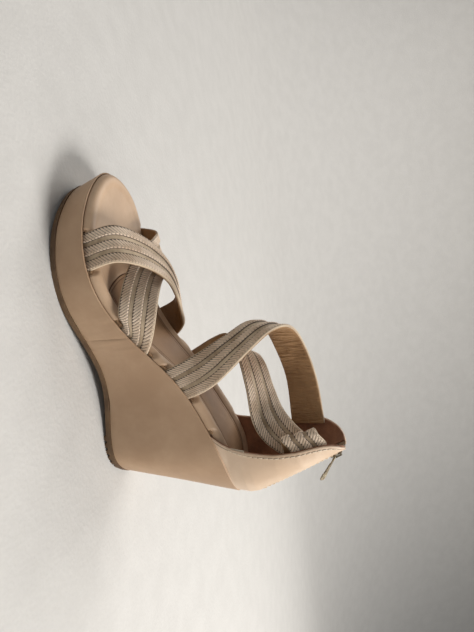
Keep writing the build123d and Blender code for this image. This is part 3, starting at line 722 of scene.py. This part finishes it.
def sock_sheet():
    """The sock liner: a thin sheet with a rounded edge and a pressed line round it."""
    top = []
    low = []
    rings = [(sock_plan(depth), depth) for depth in SOCK_DEPTHS]
    last = rings[-1][0]
    middle = spine(last)
    middle[:, 0] = np.minimum(middle[:, 0], BACK + SOCK_END - 18)
    for share in np.linspace(0, 1, 22)[1:]:
        rings.append((last * (1 - share) + middle * share, SOCK_DEPTHS[-1] + MIDDLE_DEPTH * share))
    pressed = []
    for plan, depth in rings:
        # Painted shade in the pressed line and along the sock's outer edge, carried by the seam value.
        pressed.append(np.full(AROUND, np.exp(-(((depth - SOCK_LINE) / 0.3) ** 2)) + float(depth < 0.2)))
        base = cover_height(RIM_WIDTH + depth, plan) - 0.12
        line = 0.22 * np.exp(-(((depth - SOCK_LINE) / 0.22) ** 2))
        thick = 0.12 + 0.68 * rounded(depth, 0.6) - line
        dents = 0.07 * ripples(plan[:, 0], plan[:, 1], 9, 17) * smoothstep(2.5, 8, depth)
        ground = feather(plan[:, 0]) + base
        low.append(np.column_stack([plan, ground]))
        top.append(np.column_stack([plan, ground + thick + dents]))
    return np.array(top).transpose(1, 0, 2), np.array(low).transpose(1, 0, 2), np.array(pressed).T


sock_top, sock_low, sock_groove_shade = sock_sheet()
sock = slab(
    "sock_liner_leather", sock_top, sock_low, SOCK_LEATHER, "sock_leather", {"seam": sock_groove_shade}, closed=True
)
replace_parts(sock, "sock_liner")

# ---- straps
# Pairs (back edge, front edge) of each strap's middle surface, outer end first.
TOE_STRAP_OVER = [
    ((169, 37.0, 19.0), (193, 32.0, 18.4)),
    ((169, 38.4, 25.0), (193, 33.6, 24.4)),
    ((172, 36.5, 43.0), (195, 29.5, 42.0)),
    ((166.5, 26.5, 56.0), (185.5, 12.5, 52.5)),
    ((156, 13, 63.5), (172, -3, 57.5)),
    ((142.5, 0.5, 63.5), (158.5, -16.5, 57.5)),
    ((130, -10, 60.5), (146, -27, 53.5)),
    ((119.5, -20, 56.5), (136.5, -33.5, 47)),
    ((110, -21.6, 48.5), (134, -26.4, 37.0)),
    ((110, -20.0, 42.5), (134, -24.8, 31.0)),
]
TOE_STRAP_UNDER = [
    ((110, 25.0, 42.5), (134, 32.0, 31.0)),
    ((110, 26.6, 48.5), (134, 33.6, 37.0)),
    ((130, 29.0, 57.0), (141, 37.0, 38.0)),
    ((145, 20.0, 58.0), (154.5, 28.5, 39.0)),
    ((153.5, 6.5, 56.5), (168.5, 14.5, 40.0)),
    ((158, -9.0, 53.5), (178, -3.0, 43.0)),
    ((161.5, -25.0, 47.5), (184, -19.0, 45.5)),
    ((166, -37.0, 38.0), (189, -33.0, 42.0)),
    ((170, -38.4, 25.2), (193, -39.4, 24.6)),
    ((170, -37.0, 19.2), (193, -38.0, 18.6)),
]
ANKLE_STRAP_OVER = [
    ((77, 20.4, 63.0), (100, 22.4, 50.5)),
    ((77, 21.7, 69.3), (100, 23.9, 56.8)),
    ((88, 29.0, 89.5), (107, 21.5, 78)),
    ((104.5, 26.0, 110.5), (115, 12, 95)),
    ((116, 13.0, 127.5), (121, -1, 108.5)),
    ((113.5, -4, 137.5), (115.5, -13.5, 116)),
    ((97, -16.5, 143.5), (96, -24.5, 120.5)),
    ((72, -22.5, 147.5), (71, -30.0, 125)),
    ((44.5, -20.6, 149.5), (44.0, -24.1, 126)),
    ((37, -19.6, 149.5), (36.5, -23.4, 126)),
]
ANKLE_STRAP_UNDER = [
    ((33.5, 9.7, 151.5), (31.5, 16.9, 131)),
    ((40, 12.4, 152.0), (38, 19.0, 131)),
    ((46.5, 13.8, 148.0), (44.5, 19.8, 126.5)),
    ((48.6, 11.8, 146.5), (46.1, 17.8, 125.0)),
    ((46.2, 9.7, 146.0), (43.2, 15.7, 124.5)),
    ((40, 8.6, 147.0), (36.5, 14.6, 125.5)),
    ((36.0, 6.2, 146.0), (31.5, 12.0, 124.5)),
    ((38.0, 4.0, 143.0), (32.0, 9.8, 121.5)),
    ((49.0, 1.5, 132.5), (40.5, 9.5, 111.5)),
    ((60.0, -1.0, 124.5), (57.0, 14.0, 107.0)),
    ((73.5, -5.0, 119.5), (78.5, 13.5, 106.0)),
    ((86.5, -12.5, 115.0), (97, 4.5, 101.0)),
    ((91.5, -22.0, 108.0), (107.5, -10.0, 94.5)),
    ((90, -29.0, 97.0), (109.5, -23, 86.0)),
    ((84, -29.4, 83.0), (105.5, -27.4, 72.5)),
    ((77, -20.3, 69.6), (100, -18.7, 57.1)),
    ((77, -19.2, 63.2), (100, -17.8, 50.7)),
]
HALF_WIDTH = 12.0
LAYER_HALF = 0.36  # half the thickness of the lining and of the webbing
LINING_MIDDLE = -0.8  # height of each layer off the strap's middle surface
BRAID_FOOT = 0.42
BAND_PITCH = 8.45
BAND_HALF = 3.0
BEADS = 0.86  # share across a band where its beads sit
RIB = 1.05
STRAP_STEP = RIB / 6


def through(points, steps):
    """Points on the smooth curve through listed points, steps to each interval."""
    p = np.array([place(*point) for point in points], float)
    p = np.vstack([p[0] * 2 - p[1], p, p[-1] * 2 - p[-2]])
    t = (np.arange(steps) / steps)[:, None]
    found = []
    for i in range(1, len(p) - 2):
        a, b, c, d = p[i - 1 : i + 3]
        curve = b * 2 + (c - a) * t + (a * 2 - b * 5 + c * 4 - d) * t**2 + (b * 3 - a - c * 3 + d) * t**3
        found.append(curve * 0.5)
    return np.vstack(found + [p[-2:-1]])


class Strap:
    """Middle surface of a strap, sampled evenly along it."""

    def __init__(self, pairs):
        steps = 40
        backs = through([pair[0] for pair in pairs], steps)
        fronts = through([pair[1] for pair in pairs], steps)
        lengths = arc_length((backs + fronts) / 2)
        self.start = lengths[steps // 2]
        self.end = lengths[-1 - steps // 2]
        count = int((self.end - self.start) / STRAP_STEP)
        self.along = np.linspace(self.start, self.end, count)
        back, front = (
            np.stack([np.interp(self.along, lengths, line[:, i]) for i in range(3)], -1)
            for line in (backs, fronts)
        )
        self.middle = (back + front) / 2
        self.across = unit(front - back)
        self.out = unit(np.cross(np.gradient(self.middle, axis=0), self.across))

    def grid(self, across, lift):
        """Points at positions across (per column) and lifts (per row and column)."""
        across = np.broadcast_to(across, (len(self.along), np.shape(across)[-1]))
        lift = np.broadcast_to(lift, across.shape)
        return (
            self.middle[:, None]
            + self.across[:, None] * across[..., None]
            + self.out[:, None] * lift[..., None]
        )


def wave(phase):
    """Rounded ridge with sharp valleys, 0 to 1, once per unit of phase."""
    return 1 - (2 * (phase % 1.0) - 1) ** 2


def lining_of(strap, name, seed):
    """Wrinkled leather backing."""
    edge = HALF_WIDTH - 0.35
    across = (spaced(2 * edge, 0.8, 0.45) * 2 - 1) * edge
    depth = edge - np.abs(across)
    half = LAYER_HALF * rounded(depth, 0.45)
    s, a = strap.along[:, None], across[None, :]
    folds = ripples(s, a * 0.16, 4.2, seed) + 0.5 * ripples(s, a * 0.3, 2.0, seed + 1)
    middle = LINING_MIDDLE - 0.34 * np.abs(folds) * smoothstep(0, 2, depth)
    sheets = (strap.grid(across, middle + lift) for lift in (half, -half))
    return slab(name, *sheets, STRAP_LINING, "strap_lining")


def webbing_of(strap, name):
    """Base tape with smooth channels and a rolled edge at the back."""
    across = (spaced(2 * HALF_WIDTH, 0.3, 0.5) * 2 - 1) * HALF_WIDTH
    depth = HALF_WIDTH - np.abs(across)
    half = LAYER_HALF * rounded(depth, 0.4)
    roll = 0.75 * np.maximum(1 - ((across + HALF_WIDTH - 0.62) / 0.62) ** 2, 0) ** 0.5
    s = strap.along[:, None]
    ribs = 0.03 * np.sin(2 * pi * s / 0.7)
    upper = strap.grid(across, half + roll + ribs * (depth > 0.3))
    lower = strap.grid(across, -half + 0 * s)
    # lift holds a painted highlight on the rolled back edge.
    values = {
        "along": s + 0 * across,
        "across": across + 0 * s,
        "lift": smoothstep(0.1, 0.5, roll) + 0 * s,
    }
    return slab(name, upper, lower, WEBBING, "webbing", values)


def band_profile(q):
    """Height across a band, from its low front edge (0) to its rolled back edge (1)."""
    rise = 0.32 + 0.72 * smoothstep(0.0, 0.8, q)
    return rise * rounded(q, 0.05) * rounded(1 - q, 0.12)


def bands_of(strap, name):
    """Three pleated bands of slanting ribs with a toothed front edge and a beaded back edge."""
    upper = []
    lower = []
    values = {"along": [], "across": [], "lift": []}
    q = np.concatenate([[0, 0.02, 0.05], np.linspace(0.08, BEADS, 20), [0.9, 0.935, 0.965, 0.99, 1.0]])
    near_beads = np.exp(-(((q - BEADS) / 0.085) ** 2))
    s = strap.along[:, None]
    for row in (-1, 0, 1):
        across = row * BAND_PITCH + BAND_HALF * (1 - 2 * q)
        slant = s + across * 1.02
        rib = wave(slant / RIB)
        pair = wave(slant / (2 * RIB))
        tooth = np.abs(2 * ((slant / (2 * RIB)) % 1.0) - 1)
        cut = smoothstep(-0.2, 0.12, q / 0.2 - tooth)
        bead = wave((s + across * 0.3) / (2 * RIB)) ** 1.5 * near_beads
        body = band_profile(q)
        valley = (1 - pair) ** 1.3
        height = body * (0.1 + 0.9 * cut) - body * 0.12 * (1 - rib) - body * 0.55 * valley
        height = height + 0.26 * bead * smoothstep(0, 0.1, 1 - q)
        height = np.maximum(height, 0.02)
        upper.append(strap.grid(across, BRAID_FOOT + height))
        lower.append(strap.grid(across, BRAID_FOOT - 0.06 + 0 * height))
        # Painted light and shade for the braid's lift value: lighter on the ribs and beads, darker in the
        # dips between rib pairs, in the notches of the toothed front edge, beside the beads and at the band's
        # back edge.
        rib_light_and_shade = (0.62 + 0.38 * rib) * (0.08 + 0.92 * pair**0.55) * (0.1 + 0.9 * cut) * smoothstep(1.0, 0.93, q)
        rib_light_and_shade = rib_light_and_shade * (1 - 0.55 * near_beads) + 0.85 * bead
        values["along"].append(s + 0 * across)
        values["across"].append(across + 0 * s)
        values["lift"].append(rib_light_and_shade)
    points = []
    faces = []
    start = 0
    for high, low in zip(upper, lower):
        faces += shell_faces(*high.shape[:2], start=start)
        points += [high.reshape(-1, 3), low.reshape(-1, 3)]
        start += 2 * high.shape[0] * high.shape[1]
    joined = {key: np.concatenate([np.tile(v.ravel(), 2) for v in found]) for key, found in values.items()}
    return piece(name, np.concatenate(points), np.concatenate(faces), BRAID, "sandal", joined, 75.0)


STRAPS = {
    "toe_strap_over": TOE_STRAP_OVER,
    "toe_strap_under": TOE_STRAP_UNDER,
    "ankle_strap_over": ANKLE_STRAP_OVER,
    "ankle_strap_under": ANKLE_STRAP_UNDER,
}
for number, (name, pairs) in enumerate(STRAPS.items()):
    strap = Strap(pairs)
    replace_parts(lining_of(strap, name + "_backing", 20 + number), name + "_lining")
    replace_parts(webbing_of(strap, name + "_tape"), name + "_webbing")
    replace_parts(bands_of(strap, name + "_bands"), name + "_braids")

# ---- heel counter
# Rising sections: height, distance of the back, distance where the sides run straight,
# outer half width, inner half width.
COUNTER = [
    (74.0, 5.5, 46.0, 22.0, 25.8),
    (88.0, 1.6, 46.0, 22.4, 26.0),
    (97.0, 0.4, 42.0, 23.6, 27.0),
    (103.0, 1.5, 40.0, 24.0, 27.2),
    (120.0, 9.56, 38.0, 24.0, 27.2),
    (135.0, 16.67, 38.5, 22.0, 27.0),
    (150.0, 23.78, 40.0, 17.0, 24.0),
    (168.0, 32.3, 41.0, 10.5, 14.0),
]
# Front and top edge of each half: distance, height.
OUTER_EDGE = [
    (59, 68), (50.5, 79), (44.5, 86.5), (39.4, 101.6), (37.2, 121),
    (38.4, 141), (38.4, 155), (35.5, 161.5), (30.4, 164.6), (24, 165.2),
]
INNER_EDGE = [
    (57, 69), (47.8, 81.0), (44.4, 94.5), (41.6, 112), (41.3, 137),
    (42.0, 149.5), (39.3, 157), (35.6, 161.8), (30.4, 164.6), (24, 165.2),
]
COUNTER_TOP = 164.35
TAIL = 6.0  # how far the counter reaches below the feather line
PANEL = 1.1
BUTT = 0.05  # half the gap at the back seam below the zip
TEETH_GAP = 3.5  # leather edge to the zip's middle
LINING_GAP = 5.4
ZIP_BOTTOM = 105.0
ZIP_SLOPE = 0.474
ROUNDING = 0.53  # how square the counter is at the back
EDGE_STITCH = 2.4  # stitches inside the front and top edge
ZIP_STITCH = 1.7  # stitches beside the zip
STITCH_PITCH = 3.5
STITCH_LENGTH = 1.9
STITCH_RADIUS = 0.36
counter_heights = np.array([row[0] for row in COUNTER])


def section(height, column):
    """One of the counter's listed sizes at a height."""
    return np.interp(height, counter_heights, [row[column] for row in COUNTER])


def counter_point(height, distance, side):
    """Point of the counter's outer surface at a height and a distance."""
    back = section(height, 1)
    share = np.clip((distance - back) / (section(height, 2) - back), 0, 1)
    wide = section(height, 3 if side > 0 else 4)
    return np.stack([BACK + distance, side * wide * (1 - (1 - share) ** 2) ** ROUNDING, height], -1)


def counter_start(height, side, gap):
    """Distance where the counter is gap away from the middle plane."""
    back = section(height, 1)
    wide = section(height, 3 if side > 0 else 4)
    share = 1 - np.sqrt(np.maximum(1 - (gap / wide) ** (1 / ROUNDING), 0))
    return back + share * (section(height, 2) - back)


def counter_edge(edge, height):
    """Distance of a half's front and top edge at a height."""
    line = spline(edge, np.linspace(0, 1, 300))
    keep = np.concatenate([[True], np.diff(line[:, 1]) > 0])
    return np.interp(height, line[keep, 1], line[keep, 0])


def counter_gap(height, open_gap):
    """Half the gap between the counter's halves, opening to open_gap along the zip."""
    return BUTT + (open_gap - BUTT) * smoothstep(ZIP_BOTTOM - 4, ZIP_BOTTOM, height)


def counter_grid(side, edge, open_gap, trim=0.0):
    """Grid over half of the counter: rows up it, columns from the back seam forward."""
    columns = spaced(42, 0.8, 1.2) ** 1.35
    rows = spaced(88, 0.9, 1.0)
    grid = np.zeros((len(rows), len(columns), 3))
    for j, column in enumerate(columns):
        low = 84.0
        for _ in range(12):
            start = counter_start(low, side, counter_gap(low, open_gap))
            distance = start + column * (counter_edge(edge, low) - trim - start)
            low = feather(BACK + distance) - TAIL
        height = low + rows * (COUNTER_TOP - trim - low)
        start = counter_start(height, side, counter_gap(height, open_gap))
        end = np.maximum(counter_edge(edge, height) - trim, start + 0.4)
        grid[:, j] = counter_point(height, start + column * (end - start), side)
    return grid


def outward(grid, side):
    """Normals of a counter half, pointing away from the foot."""
    normal = grid_normals(grid)
    towards = grid - np.array([BACK + 45, 0, 0])
    towards[..., 2] = 0
    flip = np.sign((normal * towards).sum(-1, keepdims=True))
    return normal * np.where(flip == 0, 1, flip)


def edge_depth(grid):
    """Distance of each grid point from the back border, and from the front or top one."""
    across = np.cumsum(np.linalg.norm(np.diff(grid, axis=1, prepend=grid[:, :1]), axis=-1), axis=1)
    up = np.cumsum(np.linalg.norm(np.diff(grid, axis=0, prepend=grid[:1]), axis=-1), axis=0)
    return across, np.minimum(across[:, -1:] - across, up[-1:] - up)


def stitches_along(path, ups):
    """Lines of single stitches along a path, sunk at their ends, each with its normals."""
    both = np.hstack([path, unit(np.array(ups))])
    lengths = arc_length(np.array(path))
    sink = 0.16 * (np.abs(np.linspace(-1, 1, 5)) ** 2)[:, None]
    found = []
    for start in np.arange(0.5, lengths[-1] - 2.2, STITCH_PITCH):
        places = np.linspace(start, start + STITCH_LENGTH, 5)
        at = np.stack([np.interp(places, lengths, both[:, i]) for i in range(6)], -1)
        found.append((at[:, :3] + at[:, 3:] * (0.3 - sink), at[:, 3:]))
    return found


stitches = []
for half, side, edge in (("outer", 1, OUTER_EDGE), ("inner", -1, INNER_EDGE)):
    grid = counter_grid(side, edge, TEETH_GAP)
    normal = outward(grid, side)
    back, rim = edge_depth(grid)
    depth = np.minimum(back, rim)
    soft = 0.14 * ripples(grid[..., 0] + grid[..., 1], grid[..., 2], 15, 31 + side) * smoothstep(1, 6, depth)
    puff = 0.22 * smoothstep(0.2, 1.6, rim) * smoothstep(4.5, 2.6, rim)
    groove = -0.25 * np.exp(-(((rim - EDGE_STITCH) / 0.45) ** 2))
    # Painted shade along the stitch groove inside the front and top edge and along the zip stitching, carried
    # by the seam value.
    zip_stitch_shade = np.exp(-(((back - ZIP_STITCH) / 0.5) ** 2)) * (grid[..., 2] > ZIP_BOTTOM)
    seam = np.maximum(np.exp(-(((rim - EDGE_STITCH) / 0.5) ** 2)), zip_stitch_shade)
    half_thick = PANEL / 2 * rounded(depth, 0.5)
    middle = grid - normal * (PANEL / 2)
    lift = (half_thick + soft * 0.5 + (puff + groove) * 0.6)[..., None]
    panel = slab(
        f"counter_{half}_leather",
        middle + normal * lift,
        middle - normal * half_thick[..., None],
        COUNTER_LEATHER,
        "counter_leather",
        {"seam": seam},
    )
    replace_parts(panel, f"counter_{half}_panel")

    inside = counter_grid(side, edge, LINING_GAP, trim=0.15)
    inside_normal = outward(inside, side)
    back, rim = edge_depth(inside)
    depth = np.minimum(back, rim)
    close = smoothstep(4.5, 1.5, rim)
    half_thick = 0.36 * rounded(depth, 0.4) + 0.32 * close * rounded(depth, 0.5)
    sunk = 2.25 - 0.32 * close
    nap = 0.1 * ripples(inside[..., 0], inside[..., 2], 7, 41 + side) * smoothstep(0.6, 3, depth)
    middle = inside - inside_normal * sunk[..., None]
    lining = slab(
        f"counter_{half}_suede",
        middle + inside_normal * half_thick[..., None],
        middle - inside_normal * (half_thick + nap)[..., None],
        COUNTER_LINING,
        "counter_lining",
    )
    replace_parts(lining, f"counter_{half}_lining")

    # Stitches inside the front and top edge, then along the zip.
    surface = grid + normal * 0.02
    heights = grid[:, -1, 2]
    runs = {"edge": ([], []), "zip": ([], [])}
    for row in np.where((heights > 88) & (heights < 161.5))[0]:
        lengths = arc_length(surface[row])
        places = {}
        if lengths[-1] > 6.5:
            places["edge"] = lengths[-1] - EDGE_STITCH
        if surface[row][0, 2] > ZIP_BOTTOM and lengths[-1] > 7.5:
            places["zip"] = ZIP_STITCH
        for run, place_along in places.items():
            for found, values in zip(runs[run], (surface[row], normal[row])):
                found.append([np.interp(place_along, lengths, values[:, i]) for i in range(3)])
    for path, ups in runs.values():
        stitches += stitches_along(path, ups)

lines, ups = zip(*stitches)
tubes("counter_stitching", lines, ups, STITCH_RADIUS, STITCH, flat=0.75)

# ---- zip slider and puller
UP_ZIP = np.array([ZIP_SLOPE, 0, 1]) / sqrt(ZIP_SLOPE**2 + 1)
OFF_ZIP = np.array([-1, 0, ZIP_SLOPE]) / sqrt(ZIP_SLOPE**2 + 1)
ACROSS_ZIP = np.array([0.0, 1, 0])
ZIP_AXES = (UP_ZIP, ACROSS_ZIP, OFF_ZIP)
ZIP_FOOT = np.array(place(1.5 + (ZIP_BOTTOM - 103.0) * ZIP_SLOPE, 0, ZIP_BOTTOM))
SLIDER_MIDDLE = 57.5
PIN_ALONG = 56.0
PIN_OUT = 2.35
PULLER_SWING = radians(32)
PULLER_LENGTH = 21.0
PULLER_TWIST = radians(38)
TAB_START = 3.5  # distance of the puller's tab from its pin, past the slider's bridge
TAB_THICK = 0.94
LOOP_RADIUS = 0.48


def on_zip(along, side, out):
    """Point given up the zip, across it and out from it."""
    return ZIP_FOOT + UP_ZIP * along + ACROSS_ZIP * side + OFF_ZIP * out


def cushion_block(centre, halves, power=0.35):
    """Two matching grids over a block along the zip's axes, with rounded edges."""
    turn = np.linspace(0, 2 * pi, 48, endpoint=False)[:, None]
    tilt = np.concatenate([[0.001], np.linspace(0.06, 1, 9)])[None, :] * pi / 2
    grids = []
    for sign in (1, -1):
        flat = np.sin(tilt) ** power
        u = np.sign(np.cos(turn)) * np.abs(np.cos(turn)) ** power * flat
        v = np.sign(np.sin(turn)) * np.abs(np.sin(turn)) ** power * flat
        w = sign * np.cos(tilt) ** power + 0 * u
        local = [f[..., None] * axis * half for f, axis, half in zip((u, v, w), ZIP_AXES, halves)]
        grids.append(centre + sum(local))
    return grids


# The slider's blocks: name, middle, and half sizes up the zip, across it and out from it.
SLIDER_PARTS = (
    ("slider_top", on_zip(SLIDER_MIDDLE, 0, 0.85), (4.5, 3.3, 0.55)),
    ("slider_under", on_zip(SLIDER_MIDDLE, 0, -2.75), (4.4, 3.1, 0.36)),
    ("slider_post", on_zip(60.6, 0, -0.9), (0.95, 0.6, 1.9)),
    ("slider_bridge_top", on_zip(57.2, 0, 3.4), (3.2, 0.8, 0.36)),
    ("slider_bridge_upper", on_zip(59.8, 0, 2.3), (0.6, 0.8, 1.3)),
    ("slider_bridge_lower", on_zip(54.6, 0, 2.3), (0.5, 0.8, 1.3)),
)
for name, centre, halves in SLIDER_PARTS:
    faces = cushion_block(centre, halves)
    made = slab(name, *faces, BRONZE, "zip_metal", closed=True, body="slider")
    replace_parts(made, "zip_slider")


def puller_tab():
    """Two faces of the flat tab with its dished tip, its direction and its pin."""
    down = -UP_ZIP * cos(PULLER_SWING) + OFF_ZIP * sin(PULLER_SWING)
    pin = on_zip(PIN_ALONG, 0, PIN_OUT)
    lengths = TAB_START + (PULLER_LENGTH - TAB_START) * spaced(PULLER_LENGTH - TAB_START, 0.25, 0.8)
    shares = spaced(4, 0.16, 0.5) * 2 - 1
    tip = PULLER_LENGTH - lengths
    width = np.interp(lengths, [TAB_START, 5.2, 7.8, 13.0, 16.5, 21], [1.9, 2.0, 1.35, 1.5, 2.35, 2.45])
    width = width * rounded(tip, 2.3) ** 0.9
    twist = PULLER_TWIST * smoothstep(TAB_START, TAB_START + 5, lengths)
    flat = ACROSS_ZIP * np.cos(twist)[:, None] + np.cross(down, ACROSS_ZIP) * np.sin(twist)[:, None]
    face = np.cross(flat, down)
    side = shares[None, :] * np.maximum(width, 0.05)[:, None]
    depth = np.minimum(width[:, None] - np.abs(side), np.minimum(tip, lengths - TAB_START + 0.05)[:, None])
    dish = 0.16 * smoothstep(0.6, 1.1, depth) * (lengths > 14)[:, None]
    half = TAB_THICK / 2 * rounded(np.maximum(depth, 0), 0.42) - dish
    middle = pin + down * lengths[:, None]
    spread = middle[:, None] + flat[:, None] * side[..., None]
    rise = face[:, None] * half[..., None]
    return spread + rise, spread - rise, down, pin


tab_top, tab_low, puller_down, puller_pin = puller_tab()
tab = slab("puller_tab", tab_top, tab_low, BRONZE, "zip_metal", body="puller")
# One side of the loop, from behind the pin to the tab: across, along. The other mirrors it.
LOOP_SIDE = [(0.6, -0.1), (1.5, 0.0), (1.65, 1.2), (1.6, 3.2), (1.2, 4.1)]
loop = [(-across, along) for across, along in LOOP_SIDE[::-1]] + LOOP_SIDE
loop = [puller_pin + ACROSS_ZIP * across + puller_down * along for across, along in loop]
loop = spline(loop, np.linspace(0, 1, 60))
loop_up = np.cross(puller_down, ACROSS_ZIP)
ring = tubes("puller_loop", [loop], [loop_up], LOOP_RADIUS, BRONZE, body="puller", sides=12)
for made in (tab, ring):
    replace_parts(made, "zip_puller")

# ---- carried-over pieces
CARRIED = {
    "outsole": OUTSOLE,
    "wedge_core": CORE,
    "insole_board": BOARD,
    "footbed_foam": FOAM,
    "heel_stiffener": STIFFENER,
}
CARRIED.update(dict.fromkeys(("shank", "shank_rivets", "heel_nails"), STEEL))
CARRIED.update(dict.fromkeys(("zip_outer_tape", "zip_inner_tape"), TAPE))
CARRIED.update(dict.fromkeys(("zip_outer_teeth", "zip_inner_teeth"), TEETH))
CARRIED.update(dict.fromkeys(("zip_bottom_stop", "zip_top_stops"), TEETH))
CARRIED.update(dict.fromkeys(("zip_slider", "zip_puller"), BRONZE))
for name, material in CARRIED.items():
    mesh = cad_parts[name].data
    mesh.materials.clear()
    mesh.materials.append(material)

# ---- room
FLOOR = fibres("studio_floor", shade(198, 195, 190), shade(193, 190, 185), 3.0)
SWEEP_START = -0.7  # where the floor starts to curve up behind the sandal, in metres
SWEEP_RADIUS = 0.6
SWEEP_REACH = 7.0
SWEEP_HALF_WIDTH = 9.0
profile = [(SWEEP_REACH, 0.0), (0.0, 0.0), (SWEEP_START, 0.0)]
for turn in np.linspace(0.1, pi / 2, 12):
    profile.append((SWEEP_START - SWEEP_RADIUS * sin(turn), SWEEP_RADIUS * (1 - cos(turn))))
profile.append((SWEEP_START - SWEEP_RADIUS, SWEEP_REACH))
sweep_points = [(x, y, z) for y, z in profile for x in (-SWEEP_HALF_WIDTH, SWEEP_HALF_WIDTH)]
sweep_faces = [(2 * i, 2 * i + 1, 2 * i + 3, 2 * i + 2) for i in range(len(profile) - 1)]
floor_mesh = bpy.data.meshes.new("studio_floor")
floor_mesh.from_pydata(sweep_points, [], sweep_faces)
floor_mesh.shade_smooth()
floor_mesh.materials.append(FLOOR)
floor = bpy.data.objects.new("studio_floor", floor_mesh)
bpy.context.scene.collection.objects.link(floor)

world = bpy.data.worlds.new("studio")
world.use_nodes = True
sky = world.node_tree.nodes["Background"]
sky.inputs["Color"].default_value = (0.80, 0.83, 0.86, 1)
sky.inputs["Strength"].default_value = 0.26
bpy.context.scene.world = world
SANDAL_MIDDLE = Vector((0, 0, 0.07))


def soft_light(name, where, power, size, colour):
    """Square area light aimed at the sandal's middle."""
    lamp = bpy.data.lights.new(name, "AREA")
    lamp.energy = power
    lamp.size = size
    lamp.color = colour
    holder = bpy.data.objects.new(name, lamp)
    holder.location = where
    holder.rotation_euler = (SANDAL_MIDDLE - Vector(where)).to_track_quat("-Z", "Y").to_euler()
    bpy.context.scene.collection.objects.link(holder)


soft_light("key", (-0.76, 0.17, 0.94), 16, 0.5, (1.0, 0.985, 0.965))
soft_light("fill", (0.5, 0.9, 0.5), 0.5, 0.9, (1.0, 0.98, 0.95))
soft_light("back", (0.35, -0.95, 1.15), 13, 1.1, (1.0, 0.98, 0.96))

CAMERA_PLACE = (0.064832, 0.307336, 0.188047)
CAMERA_TURN = (19.9468, -73.7805, -120.9160)  # degrees
camera_data = bpy.data.cameras.new("camera")
camera_data.lens = 27.827
camera_data.sensor_width = 36.0
camera_data.clip_start = 0.01
camera = bpy.data.objects.new("camera", camera_data)
camera.location = CAMERA_PLACE
camera.rotation_euler = [radians(a) for a in CAMERA_TURN]
bpy.context.scene.collection.objects.link(camera)
bpy.context.scene.camera = camera
bpy.context.scene.view_settings.view_transform = "Standard"
